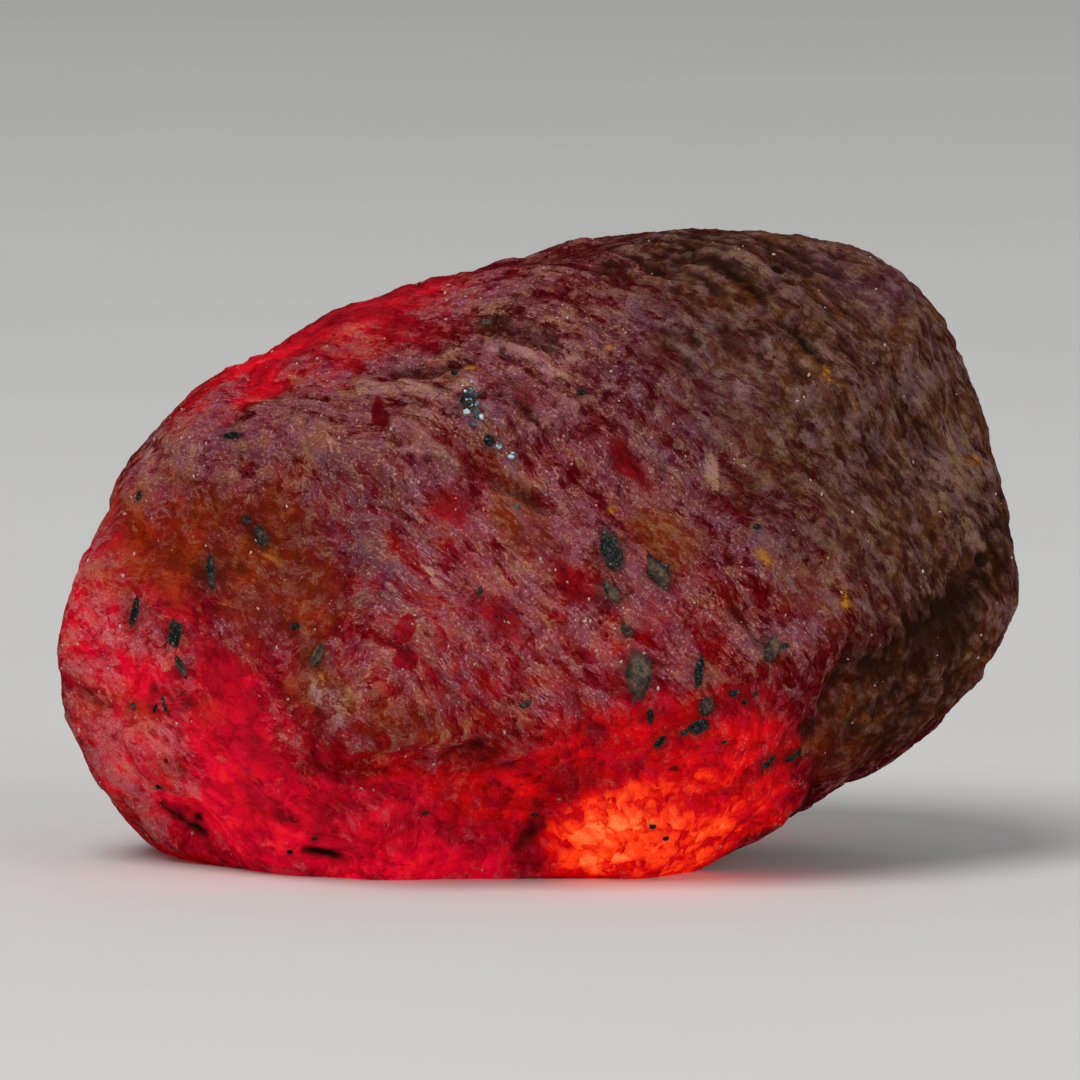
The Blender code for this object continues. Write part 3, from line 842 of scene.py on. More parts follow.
def ledge_field(w, place, pitch):
    """Each tread climbs slowly to the next parting plane and then drops."""
    across = w.maths("DIVIDE", w.vector("DOT_PRODUCT", place, tuple(PARTING_NORMAL)), pitch)
    wander = w.product(w.noise(place, 0.8, 3), 1.8)
    step = w.maths("FRACT", w.total(across, wander))
    climb = w.maths("MINIMUM", w.product(step, 1.25), w.product(w.without(step), 5.0))
    strength = w.ramped(w.noise(place, 0.55, 1), 0.38, 0.62, 0.15, 1.0)
    return w.product(w.centred(climb), strength)


def pit_field(w, place):
    """Round pits in a few of the cells of a random pattern."""
    cells = w.cells(place, 1.5)
    lot = w.add("ShaderNodeSeparateXYZ", {0: cells["Color"]}).outputs
    chosen = w.maths("GREATER_THAN", lot["X"], 0.72)
    radius = w.ramped(lot["Y"], 0.0, 1.0, 0.10, 0.30)
    return w.product(w.ramped(w.maths("DIVIDE", cells["Distance"], radius), 0.35, 1.0, 1.0, 0.0), chosen)


def new_shader_group(name, inputs, outputs):
    """A shader group that takes a place and these numbers, and gives numbers."""
    numbers = [(key, "NodeSocketFloat", value) for key, value in inputs.items()]
    results = [(key, "NodeSocketFloat") for key in outputs]
    sockets = [("Place", "NodeSocketVector"), *numbers]
    tree, given, result = new_group(name, "ShaderNodeTree", sockets, results)
    return tree, Wiring(tree), given, result


def parting_grain_group():
    """Shader group: grain drawn out along the parting, shared by every mineral here.

    Place is given in the parting's own directions. Threads are thin lines, Fibre and Grain are noise,
    Flakes has one value for each flake, Rims marks the joints between the flakes, and Hue drifts slowly.
    """
    outputs = ("Threads", "Fibre", "Flakes", "Rims", "Hue", "Grain")
    tree, w, given, result = new_shader_group("parting_grain", {"Stretch": 3.4, "Scale": 1.0}, outputs)
    sized = w.scaled(given["Place"], given["Scale"])
    drawn = w.stretched(sized, given["Stretch"])
    long_threads = w.thin_lines(w.noise(drawn, 1.3, 3, 0.7), 0.5, 0.018)
    fibre = w.noise(drawn, 2.5, 3, 0.65)
    short_threads = w.thin_lines(fibre, 0.54, 0.022)
    w.join(w.maths("MAXIMUM", long_threads, w.product(short_threads, 0.7)), result["Threads"])
    w.join(fibre, result["Fibre"])
    waver = w.product(w.centred(fibre), 0.5)
    bent = w.vector("ADD", sized, w.xyz(X=waver, Y=waver, Z=waver))
    flaky = w.stretched(bent, 1.9)
    large, small = w.cells(flaky, 4.6), w.cells(flaky, 12.0)
    w.join(w.weighted((w.lot(large), 0.6), (w.lot(small), 0.4)), result["Flakes"])
    w.join(w.noise(w.stretched(sized, 1.8), 3.4, 1, 0.5), result["Hue"])
    large_rims = w.ramped(large["Distance"], 0.40, 0.80, 0.0, 0.6)
    small_rims = w.ramped(small["Distance"], 0.40, 0.80, 0.0, 0.4)
    w.join(w.total(large_rims, small_rims), result["Rims"])
    w.join(w.noise(sized, 20.0, 1, 0.5), result["Grain"])
    return tree


def speck_group():
    """Shader group: sparse round specks of one size, as a mask."""
    inputs = {"Scale": 8.0, "Share": 0.2, "Size": 0.3}
    tree, w, given, result = new_shader_group("specks", inputs, ["Mask"])
    cells = w.cells(given["Place"], given["Scale"])
    chosen = w.maths("LESS_THAN", w.lot(cells), given["Share"])
    near = w.without(w.maths("DIVIDE", cells["Distance"], given["Size"]), clamp=True)
    w.join(w.product(w.ramped(near, 0.0, 0.5), chosen), result["Mask"])
    return tree


def new_material(name):
    """A material with only its output, the place on the object in bench lengths, and a Principled shader."""
    material = bpy.data.materials.new(name)
    material.use_nodes = True
    material.cycles.emission_sampling = "NONE"
    material.node_tree.nodes.clear()
    w = Wiring(material.node_tree)
    objectwise = w.add("ShaderNodeTexCoord").outputs["Object"]
    place = w.scaled(objectwise, 1 / MM)
    shader = w.add("ShaderNodeBsdfPrincipled")
    output = w.add("ShaderNodeOutputMaterial")
    w.join(shader.outputs[0], output.inputs["Surface"])
    return material, w, place, shader


def attribute(w, name, out="Fac"):
    return w.add("ShaderNodeAttribute", attribute_name=name).outputs[out]


def attributes(w, *names):
    return [attribute(w, name) for name in names]


def placed_group(w, name, maker, **inputs):
    """A group shared by the materials, put in one of them with its own values."""
    return w.add("ShaderNodeGroup", inputs, node_tree=bpy.data.node_groups.get(name) or maker()).outputs


def parting_grain(w, flow, stretch=3.4, scale=1.0):
    return placed_group(w, "parting_grain", parting_grain_group, Place=flow, Stretch=stretch, Scale=scale)


def specks(w, place, scale, share, size):
    return placed_group(w, "specks", speck_group, Place=place, Scale=scale, Share=share, Size=size)["Mask"]


def fine_relief(w, height, depth):
    """A bent normal for relief this deep in bench lengths."""
    return w.add("ShaderNodeBump", {"Height": height, "Strength": 0.9, "Distance": depth * MM}).outputs[0]


def broken(w, mask, grain, low, high, rough):
    """A zone's mask with its edge broken up by a grain pattern."""
    return w.ramped(w.total(mask, w.product(w.centred(grain), rough)), low, high)


def stone_material(colours):
    """Worn ruby: clear red under a frosted skin, stained and crusted, with a painted glow inside it for lamp
    light shining up through it, and painted shade in its hollows.
    """
    material, w, place, shader = new_material("ruby_skin")
    flow = attribute(w, "flow", "Vector")
    grain = parting_grain(w, flow)
    threads, fibre, flakes, rims = (grain[name] for name in ("Threads", "Fibre", "Flakes", "Rims"))
    fine, hue = grain["Grain"], grain["Hue"]
    light, pink, plum, veil, crust, rust = attributes(w, "light", "pink", "plum", "veil", "crust", "rust")
    shade, halo, wear, pit = attributes(w, "shade", "halo", "wear", "pit")
    patch, cloud, fold, window, spot, tan = attributes(w, "patch", "cloud", "fold", "window", "fleck", "tan")
    worn, cloudy = w.centred(wear), w.weighted((cloud, 0.6), (fibre, 0.4))
    ragged = w.weighted((fibre, 0.6), (flakes, 0.4))
    window = broken(w, window, ragged, 0.22, 0.55, 0.6)
    fleck = w.product(broken(w, spot, ragged, 0.15, 0.85, 1.0), 0.85)
    tan = broken(w, tan, ragged, 0.20, 0.85, 1.0)
    # Painted sheen: fine noise and fibre brighten and darken the colour and the glow, standing in for glints
    # off the skin's fine grain.
    fine_sheen = w.product(w.centred(fine), w.ramped(crust, 0.0, 0.6, 0.55, 0.15))
    painted_sheen = w.total(1.0, fine_sheen, w.product(w.centred(fibre), 0.45))
    hue = w.total(w.centred(hue), w.product(w.centred(cloud), 0.9))
    cast = w.mixed(w.ramped(hue, -0.22, 0.22), colours.cool_cast, colours.warm_cast)

    # Clear crystal: deep red flakes between lighter ones, lighter too where the painted glow is.
    clear = w.weighted((w.centred(patch), 1.6), (w.centred(flakes), 1.3), (light, 0.8))
    red = w.mixed(w.ramped(clear, -0.4, 0.6), colours.gem_dark, colours.gem)

    # Frosted skin: a thin pale veil that the flakes wear through, thickest on the crests.
    cover = w.weighted(
        (w.centred(patch), 3.4),
        (w.centred(fibre), 2.2),
        (w.centred(flakes), 1.9),
        (w.centred(fine), 0.25),
        (worn, 1.1),
        (w.maths("SUBTRACT", veil, 0.25), 1.1),
        (light, -0.95),
    )
    closed = w.without(window)
    frost = w.product(w.ramped(cover, -0.55, 1.55), closed)
    clay = w.ramped(w.total(cloud, w.product(crust, 0.3), w.product(worn, 0.15)), 0.46, 0.72)
    blush_share = w.ramped(w.weighted((cloud, -0.8), (fibre, 0.5), (flakes, 0.3)), -0.12, 0.12)
    plum_share = broken(w, plum, patch, 0.15, 0.85, 1.2)
    skin = w.layered(
        w.mixed(clay, colours.veil, colours.tan),
        (w.product(blush_share, 0.75), colours.blush),
        (w.product(plum_share, 0.9), colours.plum),
    )
    thread_share = w.product(threads, closed, w.ramped(w.total(cover, cloud), 0.2, 1.4, 0.05, 0.60))
    # Painted glints: pale specks where the fine grain peaks, in the thread colour.
    glint_speck_share = w.product(w.ramped(fine, 0.61, 0.75), w.ramped(cover, -0.2, 0.8), closed, 0.8)

    # Iron stain sinks in, and is more ochre in places.
    stain = broken(w, rust, cloudy, 0.22, 0.80, 0.9)
    ochre_share = w.ramped(w.weighted((cloud, 0.6), (flakes, 0.4)), 0.44, 0.62)
    stain_colour = w.mixed(ochre_share, colours.rust, colours.rust_light)

    # Brown crust, dark in its hollows, with curled grey crests and orange-brown stain.
    clods = w.noise(w.stretched(flow, 1.55), 2.9, 4, 0.62)
    crest = w.total(clods, w.product(worn, 0.2), w.product(w.centred(flakes), 0.26))
    crust_cover = broken(w, crust, ragged, 0.16, 0.92, 1.5)
    curls = w.maths("MAXIMUM", w.product(threads, 0.5), w.thin_lines(clods, 0.54, 0.018))
    gaps = w.maths("MAXIMUM", rims, w.thin_lines(clods, 0.46, 0.02))
    crust_colour = w.layered(
        w.mixed(w.ramped(crest, 0.40, 0.54), colours.crust_dark, colours.crust),
        (w.product(w.ramped(cloudy, 0.46, 0.60), 0.75), colours.umber),
        (w.product(plum_share, 0.35), colours.plum),
        (w.product(stain, w.ramped(flakes, 0.35, 0.75), 0.9), colours.rust_light),
        (w.product(w.ramped(crest, 0.51, 0.67), 0.75), colours.crust_light),
        (w.product(curls, 0.4), colours.crust_light),
        (w.product(gaps, 0.6), colours.crust_dark),
    )

    # Spots, stains round the dark grains, and painted shade in the hollows, pits, sunk folds and shade zones,
    # with some dirt in the crevices.
    crest_line = w.product(w.ramped(fold, 0.03, 0.07, 0.0, 0.65), w.ramped(patch, 0.35, 0.6, 0.3, 1.0))
    tan_share = w.product(w.maths("MAXIMUM", tan, crest_line), w.ramped(flakes, 0.2, 0.6, 0.2, 0.85))
    ochre_part = w.product(w.ramped(w.total(fleck, flakes), 0.9, 1.6), w.ramped(spot, 0.55, 0.95, 0.45, 1.0))
    ring = w.ramped(halo, 0.05, 0.8)
    # Painted shade: the hollow and dusk shares darken hollows, pits and sunk folds, and dim the glow there.
    hollow = w.ramped(w.weighted((shade, 0.6), (worn, -0.9)), 0.16, 0.9)
    dusk = w.total(w.weighted((hollow, 0.85), (pit, 0.3)), w.ramped(fold, -0.07, -0.02, 0.35, 0.0))
    base = w.layered(
        red,
        (frost, skin),
        (w.product(rims, w.ramped(light, 0.1, 0.6, 0.42, 0.10)), colours.gem_dark),
        (thread_share, colours.thread),
        (glint_speck_share, colours.thread),
        (w.product(stain, w.ramped(flakes, 0.2, 0.8, 0.95, 0.5), closed), stain_colour),
        (w.product(crust_cover, 0.92), crust_colour),
        (tan_share, w.mixed(crust, colours.thread, colours.crust_light)),
        (
            w.product(fleck, w.ramped(flakes, 0.2, 0.6, 0.35, 0.9)),
            w.mixed(ochre_part, colours.rust_light, colours.ochre),
        ),
        (w.product(ring, 0.5), colours.crust_dark),
    )
    base = w.mixed(1.0, w.scaled(base, painted_sheen), cast, "MULTIPLY")

    # Painted glow: emission stands in for lamp light shining up through the stone from below. It fills the
    # clear parts cell by cell, and the brightest cells turn orange.
    wobble = w.xyz(X=w.centred(fibre), Z=w.centred(cloud))
    cells = w.cells(w.vector("ADD", place, w.scaled(wobble, 0.7)), 2.9)
    crack = w.ramped(cells["Distance"], 0.30, 0.66, 1.0, 0.0)
    pattern = w.weighted(
        (w.centred(w.lot(cells)), 0.42),
        (w.maths("SUBTRACT", crack, 0.6), 0.20),
        (w.centred(flakes), 0.20),
        (w.centred(cloud), 1.0),
        (w.centred(fibre), 0.45),
        (rims, -0.10),
    )
    glow_level = w.product(light, w.total(1.0, pattern))
    rosy = w.product(w.ramped(pink, 0.0, 0.35), w.ramped(hue, -0.05, 0.12, 1.0, 0.8))
    cool_rosy = w.product(w.ramped(hue, -0.20, 0.0, 0.7, 0.0), w.ramped(glow_level, 0.5, 0.8, 1.0, 0.0))
    warm = w.layered(
        colours.glow_red,
        (w.ramped(glow_level, 0.66, 1.02), colours.glow_orange),
        (w.ramped(glow_level, 0.95, 1.4), colours.ember),
        (w.maths("MAXIMUM", rosy, cool_rosy), colours.glow_pink),
    )
    passed = w.product(
        w.without(frost, 0.75),
        w.without(stain, 0.45),
        w.without(crust_cover, 0.95),
        w.without(ring, 0.6),
        w.without(dusk, clamp=True),
    )
    painted_glow = w.layered(
        (0, 0, 0),
        (w.product(w.ramped(glow_level, 0.05, 1.0), passed, painted_sheen), warm),
        (w.product(w.ramped(light, 0.25, 0.9), frost, pink), colours.milk),
    )

    hair = w.noise(w.stretched(flow, 2.4), 8.0, 2, 0.6)
    height = w.weighted(
        (fibre, w.ramped(crust, 0.0, 0.6, 0.9, 0.6)),
        (hair, w.ramped(crust, 0.0, 0.6, 0.6, 0.35)),
        (w.product(clods, crust), 2.4),
    )
    finish = {
        "Base Color": w.mixed(dusk, base, colours.shade),
        "Emission Color": painted_glow,
        "Emission Strength": 1.0,
        "Roughness": w.total(0.40, w.product(frost, 0.15), w.product(crust_cover, 0.2)),
        "Coat Weight": w.total(w.weighted((window, 0.05), (frost, 0.12)), 0.015),
        "Coat Roughness": 0.25,
        "IOR": 1.77,
        "Specular IOR Level": 0.0,
        "Normal": fine_relief(w, height, 0.09),
    }
    w.feed(shader, finish)
    return material


def grain_material(colours):
    """Dark mineral: near black and green-grey, with painted glints of fine specks and bright cleavage specks,
    which are also glossier. Skin creeps over its rim.
    """
    material, w, place, shader = new_material("dark_mineral")
    grain = parting_grain(w, w.along_parting(place, 1.0), 1.2, 1.6)
    fibre, flakes = grain["Fibre"], grain["Flakes"]
    rim, tone = attributes(w, "rim", "tone")
    mottle = w.weighted((fibre, 0.6), (flakes, 0.4))
    bright = specks(w, place, 11.0, 0.16, 0.28)
    pale_share = w.ramped(w.total(tone, w.centred(mottle)), 0.1, 0.9)
    creep = w.total(rim, w.centred(fibre), w.product(w.centred(flakes), 0.3))
    base = w.layered(
        colours.grain,
        (w.ramped(mottle, 0.45, 0.75), colours.grain_green),
        (w.product(grain["Rims"], 0.8), colours.grain),
        (w.product(w.ramped(grain["Grain"], 0.56, 0.72), 0.7), colours.glint),
        (w.product(bright, 0.8), colours.cleavage),
        (
            w.product(pale_share, w.ramped(rim, 0.6, 0.9, 1.0, 0.3)),
            w.mixed(w.ramped(mottle, 0.35, 0.65), colours.clay_dark, colours.clay),
        ),
        (w.ramped(creep, 0.68, 1.05, 0.0, 0.8), colours.creep),
    )
    height = w.total(flakes, fibre, w.product(w.cells(place, 9.0)["Distance"], 0.9))
    finish = {
        "Base Color": base,
        "Roughness": w.total(0.42, w.product(bright, -0.25)),
        "Specular IOR Level": 0.08,
        "Normal": fine_relief(w, height, 0.06),
    }
    w.feed(shader, finish)
    return material


def sparkle_material(colours):
    """Pale grains on the skin, painted as glints: they stand in for tiny highlights off the skin's fine
    grain.
    """
    material, w, place, shader = new_material("pale_grains")
    tone = w.ramped(w.noise(place, 2.4, 2), 0.35, 0.68)
    roughness = w.ramped(w.noise(place, 6.0, 1), 0.3, 0.7, 0.15, 0.45)
    w.feed(shader, {"Base Color": w.mixed(tone, colours.sand_dark, colours.sand), "Roughness": roughness})
    return material


def facet_material(colours):
    """Blue-white cleavage facets with painted glints: a random tone paints most dull or in shade, and a few
    bright as if catching the light.
    """
    material, w, place, shader = new_material("bright_facets")
    tone = w.total(attribute(w, "tone"), w.product(w.centred(w.noise(place, 9.0, 2)), 0.5))
    base = w.layered(
        colours.facet_dark,
        (w.ramped(tone, 0.15, 0.60), colours.facet_dull),
        (w.ramped(tone, 0.55, 0.80), colours.facet),
    )
    w.feed(shader, {"Base Color": base, "Roughness": w.ramped(tone, 0.0, 1.0, 0.35, 0.12), "Metallic": 0.25})
    return material


def sparkle_tree():
    """Geometry nodes that scatter small pale grains over the stone as painted glints, thickest on its frosted
    parts.
    """
    inputs = [("Density", "NodeSocketFloat", 6.0), ("Size", "NodeSocketFloat", 0.028)]
    inputs += [("Seed", "NodeSocketInt", 7), ("Grain", "NodeSocketMaterial")]
    tree, w, given, result = new_geometry_tree("skin_grains", inputs)
    place = w.add("GeometryNodeInputPosition").outputs[0]
    frosted = w.total(0.15, w.product(named_field(w, "veil"), 0.6), w.product(named_field(w, "rust"), 0.5))
    clumped = w.ramped(w.noise(place, 1.0, 3), 0.42, 0.66, 0.15, 1.6)
    off_base = w.maths("GREATER_THAN", w.height_of(place), 0.25)
    density = w.product(given["Density"], frosted, clumped, off_base)
    scatter = w.add(
        "GeometryNodeDistributePointsOnFaces",
        {"Mesh": given["Geometry"], "Density": density, "Seed": given["Seed"]},
        distribute_method="RANDOM",
    )
    lump = w.add("GeometryNodeMeshIcoSphere", {"Radius": 1.0, "Subdivisions": 1}).outputs["Mesh"]
    size = w.add("FunctionNodeRandomValue", {"Seed": given["Seed"]}, data_type="FLOAT")
    least, most = size.inputs[2], size.inputs[3]
    least.default_value = 0.50
    most.default_value = 1.15
    spin = w.add("FunctionNodeRandomValue", {"Seed": given["Seed"]}, data_type="FLOAT_VECTOR")
    most_spin = spin.inputs[1]
    most_spin.default_value = (math.tau, math.tau, math.tau)
    each = w.product(w.maths("POWER", size.outputs[1], 2.0), given["Size"])
    squat = w.scaled(w.xyz(X=1.2, Y=0.8, Z=0.7), each)
    placed = w.add(
        "GeometryNodeInstanceOnPoints",
        {"Points": scatter.outputs["Points"], "Instance": lump, "Rotation": spin.outputs[0], "Scale": squat},
    )
    dress(w, placed.outputs[0], given["Grain"], result)
    return tree


def plain_stone():
    """The solid's own surface on the bench, in millimetres, as an even mesh with its facets worn off."""
    stone = bmesh.new()
    stone.from_mesh(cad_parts[SOLID].data)
    bmesh.ops.remove_doubles(stone, verts=stone.verts, dist=WELD_GAP * MM)
    bmesh.ops.scale(stone, vec=Vector((1, 1, 1)) / MM, verts=stone.verts)
    made = new_object("ruby_skin", mesh_from("ruby_skin", stone))
    remesh = made.modifiers.new("even", "REMESH")
    remesh.mode = "VOXEL"
    remesh.voxel_size = bpy.context.scene.ruby_sizes.grain / MM
    smooth = made.modifiers.new("worn", "SMOOTH")
    smooth.factor = 0.5
    smooth.iterations = WORN_ROUNDS
    return settled(made)


def smoothed(points, edges, rounds):
    """The points after each has moved to the mean of its neighbours, this many times."""
    ends = np.concatenate((edges, edges[:, ::-1]))
    order = np.argsort(ends[:, 0], kind="stable")
    starts, neighbours = ends[order, 0], ends[order, 1]
    firsts = np.flatnonzero(np.r_[True, np.diff(starts) > 0])
    counts = np.diff(np.r_[firsts, len(starts)])[:, None]
    for _ in range(rounds):
        points = 0.5 * points + 0.5 * np.add.reduceat(points[neighbours], firsts) / counts
    return points


def wear_of(mesh):
    """How exposed each point is: over a half on crests, under a half in hollows."""
    points = points_of(mesh)
    edges = np.empty(len(mesh.edges) * 2, dtype=np.int32)
    mesh.edges.foreach_get("vertices", edges)
    edges = edges.reshape(-1, 2)
    normals = np.empty(len(mesh.vertices) * 3)
    mesh.vertex_normals.foreach_get("vector", normals)
    normals = normals.reshape(-1, 3)
    (near_rounds, near_rise), (far_rounds, far_rise) = WEAR_NEAR, WEAR_FAR
    near = smoothed(points, edges, near_rounds)
    far = smoothed(near, edges, far_rounds)
    rise_near = ((points - near) * normals).sum(axis=1)
    rise_far = ((near - far) * normals).sum(axis=1)
    rise_far -= np.median(rise_far)
    return 0.5 + np.clip(rise_near / near_rise + rise_far / far_rise, -0.5, 0.5)


def fit_to_frame(points, resting):
    """Keeps the stone within the frame's box, with its base flat on the floor."""
    points[resting, 2] = 0
    low, high = (np.array(corner) / MM for corner in FRAME_BOX)
    size = points.max(axis=0) - points.min(axis=0)
    share = np.minimum(1, (high - low) / size)
    centre = 0.5 * (points.max(axis=0) + points.min(axis=0))
    target = 0.5 * (low + high)
    centre[2], target[2] = 0, 0
    return (points - centre) * share + target


def finish_piece(made):
    """Brings a bench piece to its real size, within the frame and riding on the stone's body."""
    made.data.transform(Matrix.Scale(MM, 4))
    set_points(made.data, np.clip(points_of(made.data), *FRAME_BOX))
    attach(made, BODY)


def stone_tree():
    """The finished stone's surface, in bench lengths, for finding where a grain sits."""
    mesh = bpy.data.objects["ruby_skin"].data
    points = points_of(mesh) / MM
    polygons = [tuple(face.vertices) for face in mesh.polygons]
    return BVHTree.FromPolygons([Vector(point) for point in points], polygons)


def sit_on(surface, above, along, length, width, turn, corners, pale, seed):
    """A flat, lumpy grain let into the surface where a ray from above meets it.

    It is pointed where corners is under 2 and blocky over 2.
    """
    hit, normal, _, _ = surface.ray_cast(above, along)
    if hit is None:
        raise ValueError("a grain misses the stone")
    side = Vector((0, 0, 1)).cross(normal).normalized()
    rise = normal.cross(side)
    c, s = math.cos(math.radians(turn)), math.sin(math.radians(turn))
    lengthwise = side * c + rise * s
    crosswise = rise * c - side * s
    grain = bmesh.new()
    bmesh.ops.create_icosphere(grain, subdivisions=4 if length > FINE_GRAIN_LENGTH else 3, radius=1.0)
    # Each seed has its own part of the noise.
    shift = Vector((seed * 3.7, seed * 1.3, 0))
    lumpiness, lump_scale = LUMP_NOISE
    rim, tone = (grain.verts.layers.float.new(name) for name in ("rim", "tone"))
    for vert in grain.verts:
        out = math.hypot(vert.co.x, vert.co.y)
        vert[rim] = out
        vert[tone] = pale
        flat = Vector((vert.co.x, vert.co.y, 0))
        outline = out / max((abs(vert.co.x) ** corners + abs(vert.co.y) ** corners) ** (1 / corners), 0.001)
        for strength, scale in OUTLINE_NOISE:
            outline += strength * noise.noise(flat * scale + shift)
        u, v = 0.5 * length * vert.co.x * outline, 0.5 * width * vert.co.y * outline
        start = hit + lengthwise * u + crosswise * v + normal * SHORT_RAY
        spot, facing, _, _ = surface.ray_cast(start, -normal)
        spot = spot if spot is not None else start - normal * SHORT_RAY
        facing = facing if facing is not None else normal
        lump = 1 + lumpiness * noise.noise(vert.co * lump_scale + shift)
        vert.co = spot + facing * GRAIN_THICKNESS * (vert.co.z * lump - GRAIN_SUNK_SHARE)
    return grain


def gathered(name, grains):
    """One object that holds all these small bmeshes."""
    whole = bmesh.new()
    for grain in grains:
        bmesh.ops.recalc_face_normals(grain, faces=grain.faces)
        part = mesh_from("part", grain)
        whole.from_mesh(part)
        bpy.data.meshes.remove(part)
    return new_object(name, mesh_from(name, whole))


class RUBY_OT_stone(bpy.types.Operator):
    """Makes the worn stone from the solid and gives it its skin"""

    bl_idname = "ruby.stone"
    bl_label = "Stone"

    def execute(self, context):
        sizes, colours = context.scene.ruby_sizes, context.scene.ruby_colours
        noise.seed_set(BEND_SEED)
        made = plain_stone()
        points = points_of(made.data)
        resting = points[:, 2] < RESTING_BELOW
        bent = points
        for reach, pitch in ZONE_BENDS:
            bent = bent_places(bent, reach, pitch)
        add_attribute(made.data, "light", zone_strength(bent, LIGHT, "sum"))
        for name, zones in STRONGEST_ZONES.items():
            add_attribute(made.data, name, zone_strength(bent, zones, "most"))
        drops = zone_strength(bent_places(points, *DROP_BEND), DROPS, "most")
        add_attribute(made.data, "window", np.maximum(zone_strength(bent, WINDOW, "most"), drops))
        add_attribute(made.data, "halo", halo_strength(points))
        add_attribute(made.data, "fold", fold_height(bent_places(points, *FOLD_BEND)))
        relief = made.modifiers.new("relief", "NODES")
        relief.node_group = relief_tree()
        for name in RELIEF:
            set_input(relief, name, getattr(sizes, name.lower().replace(" ", "_")) / MM)
        set_input(relief, "Stone", stone_material(colours))
        settled(made)
        add_attribute(made.data, "wear", wear_of(made.data))
        set_points(made.data, fit_to_frame(points_of(made.data), resting))
        made.data.shade_smooth()
        finish_piece(made)
        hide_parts(SOLID)
        return {"FINISHED"}


class RUBY_OT_dark_grains(bpy.types.Operator):
    """Lets the dark mineral grains into the stone's surface"""

    bl_idname = "ruby.dark_grains"
    bl_label = "Dark grains"

    def execute(self, context):
        surface = stone_tree()
        grains = []
        for seed, (_, across, up, *form) in enumerate(FRONT_GRAINS):
            above = Vector((across, -LONG_RAY, up))
            grains.append(sit_on(surface, above, BACKWARDS, *form, seed))
        chance = random.Random(context.scene.ruby_sizes.seed)
        for seed in range(HIDDEN_GRAINS):
            drawn = [chance.uniform(*ends) for ends in HIDDEN_RANGES]
            bearing, rise, along, length, slimness, turn, corners = drawn
            bearing = math.radians(bearing)
            away = Vector((math.sin(bearing), math.cos(bearing), rise)).normalized()
            above = Vector((along, 0, HIDDEN_MIDDLE)) + away * LONG_RAY
            form = (length, length * slimness, turn, corners, HIDDEN_PALE)
            grains.append(sit_on(surface, above, -away, *form, HIDDEN_SEED + seed))
        made = gathered("dark_grains", grains)
        made.data.materials.append(grain_material(context.scene.ruby_colours))
        made.data.shade_smooth()
        finish_piece(made)
        return {"FINISHED"}


class RUBY_OT_bright_facets(bpy.types.Operator):
    """Sets the small bright facets in their line below the brow"""

    bl_idname = "ruby.bright_facets"
    bl_label = "Bright facets"

    def execute(self, context):
        surface = stone_tree()
        chance = random.Random(context.scene.ruby_sizes.seed + 1)
        grains = []
        for across, up, spread, count in BRIGHT_FACETS:
            for _ in range(count):
                aside, lift = (chance.gauss(0, spread * share) for share in FACET_SCATTER)
                hit, _, _, _ = surface.ray_cast(Vector((across + aside, -LONG_RAY, up + lift)), BACKWARDS)
                facet = bmesh.new()
                bmesh.ops.create_icosphere(facet, subdivisions=1, radius=chance.uniform(*FACET_RADIUS))
                # The tone sets how brightly the facet's glint is painted.
                layer, tone = facet.verts.layers.float.new("tone"), chance.random()
                for vert in facet.verts:
                    vert[layer] = tone
                turned = Matrix.Rotation(chance.uniform(0, math.tau), 4, "X")
                turned = turned @ Matrix.Rotation(chance.random(), 4, "Z")
                squashed = Matrix.Diagonal((1.0, FACET_FLATNESS, chance.uniform(*FACET_STRETCH), 1.0))
                placed = Matrix.Translation(hit) @ turned @ squashed
                bmesh.ops.transform(facet, matrix=placed, verts=facet.verts)
                grains.append(facet)
        made = gathered("bright_facets", grains)
        made.data.materials.append(facet_material(context.scene.ruby_colours))
        finish_piece(made)
        return {"FINISHED"}


class RUBY_OT_glint_grains(bpy.types.Operator):
    """Scatters pale grains over the stone's skin as painted glints"""

    bl_idname = "ruby.skin_grains"
    bl_label = "Skin grains"

    def execute(self, context):
        sizes = context.scene.ruby_sizes
        mesh = bpy.data.objects["ruby_skin"].data.copy()
        mesh.transform(Matrix.Scale(1 / MM, 4))
        made = new_object("skin_grains", mesh)
        scatter = made.modifiers.new("scatter", "NODES")
        scatter.node_group = sparkle_tree()
        set_input(scatter, "Density", sizes.sparkle_density)
        set_input(scatter, "Size", sizes.sparkle_size / MM)
        set_input(scatter, "Seed", sizes.seed)
        set_input(scatter, "Grain", sparkle_material(context.scene.ruby_colours))
        settled(made)
        finish_piece(made)
        return {"FINISHED"}


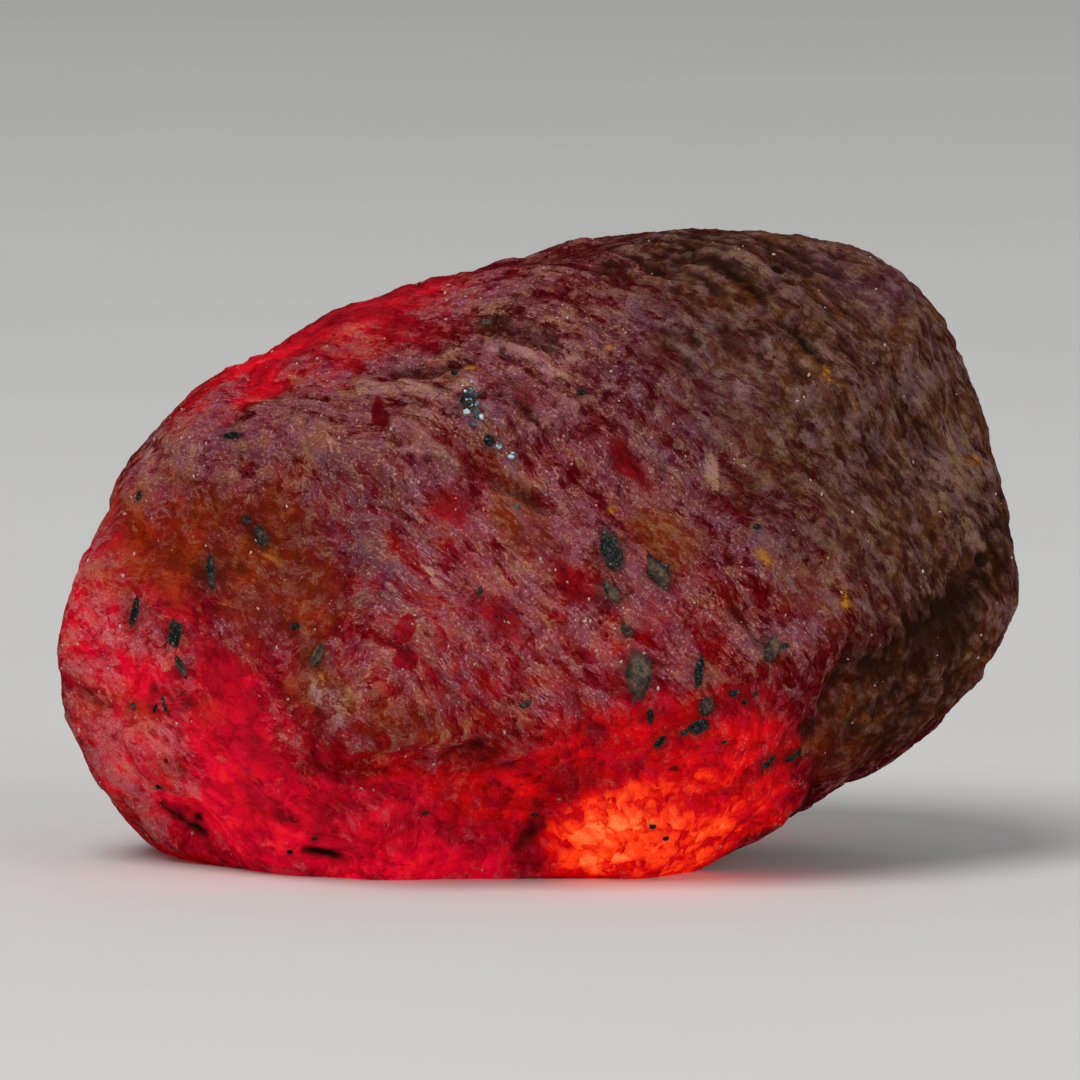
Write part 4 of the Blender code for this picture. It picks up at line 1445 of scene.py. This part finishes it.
class RUBY_OT_stage(bpy.types.Operator):
    """Sets the floor, the lamps and the camera"""

    bl_idname = "ruby.stage"
    bl_label = "Stage"

    def execute(self, context):
        stage = context.scene.ruby_stage
        self.floor(stage)
        for name, (place, size) in LAMPS.items():
            self.lamp(f"{name}_lamp", place, size, getattr(stage, name))
        world = bpy.data.worlds.new("studio")
        context.scene.world = world
        world.use_nodes = True
        backdrop = world.node_tree.nodes["Background"]
        backdrop.inputs["Color"].default_value = SKY_COLOUR
        backdrop.inputs["Strength"].default_value = stage.sky
        context.scene.view_settings.view_transform = "Standard"
        self.camera(context, stage)
        return {"FINISHED"}

    def floor(self, stage):
        sheet = bmesh.new()
        bmesh.ops.create_grid(sheet, x_segments=1, y_segments=1, size=FLOOR_HALF_SIZE)
        floor = new_object("floor", mesh_from("floor", sheet))
        material, w, place, shader = new_material("floor")
        tone = w.ramped(w.noise(place, 0.05, 2), 0.3, 0.7)
        base = w.mixed(tone, stage.floor, [FLOOR_MOTTLE * channel for channel in stage.floor])
        w.feed(shader, {"Base Color": base, "Roughness": 0.9, "Specular IOR Level": 0.1})
        floor.data.materials.append(material)

    def lamp(self, name, place, size, power):
        light = bpy.data.lights.new(name, "AREA")
        light.shape = "DISK"
        light.size = size
        light.energy = power
        lamp = new_object(name, light)
        lamp.location = place
        lamp.rotation_euler = (LAMP_TARGET - lamp.location).to_track_quat("-Z", "Y").to_euler()

    def camera(self, context, stage):
        lens = bpy.data.cameras.new("camera")
        lens.lens = LENS_MM
        lens.sensor_width = SENSOR_MM
        lens.clip_start = CLIP_START
        camera = new_object("camera", lens)
        away = Vector((0, -math.cos(stage.elevation), math.sin(stage.elevation)))
        camera.location = CAMERA_TARGET + away * stage.distance
        camera.rotation_euler = (-away).to_track_quat("-Z", "Y").to_euler()
        context.scene.camera = camera


class RUBY_PT_panel(bpy.types.Panel):
    """Lists the ruby's steps and settings"""

    bl_label = "Raw Ruby Crystal"
    bl_idname = "RUBY_PT_panel"
    bl_space_type = "VIEW_3D"
    bl_region_type = "UI"
    bl_category = "Ruby"

    def draw(self, context):
        for step in STEPS:
            self.layout.operator(step.bl_idname)
        for settings in (context.scene.ruby_sizes, context.scene.ruby_colours, context.scene.ruby_stage):
            box = self.layout.box()
            for name in settings.__annotations__:
                box.prop(settings, name)


SETTINGS = {"ruby_sizes": RubySizes, "ruby_colours": RubyColours, "ruby_stage": RubyStage}
STEPS = (RUBY_OT_stone, RUBY_OT_dark_grains, RUBY_OT_bright_facets, RUBY_OT_glint_grains, RUBY_OT_stage)


def register():
    for cls in (*SETTINGS.values(), *STEPS, RUBY_PT_panel):
        bpy.utils.register_class(cls)
    for name, cls in SETTINGS.items():
        setattr(bpy.types.Scene, name, PointerProperty(type=cls))


def unregister():
    for name in SETTINGS:
        delattr(bpy.types.Scene, name)
    for cls in (RUBY_PT_panel, *reversed(STEPS), *SETTINGS.values()):
        bpy.utils.unregister_class(cls)


def main():
    register()
    bpy.ops.ruby.stone()
    bpy.ops.ruby.dark_grains()
    bpy.ops.ruby.bright_facets()
    bpy.ops.ruby.skin_grains()
    bpy.ops.ruby.stage()


if __name__ == "__main__":
    main()
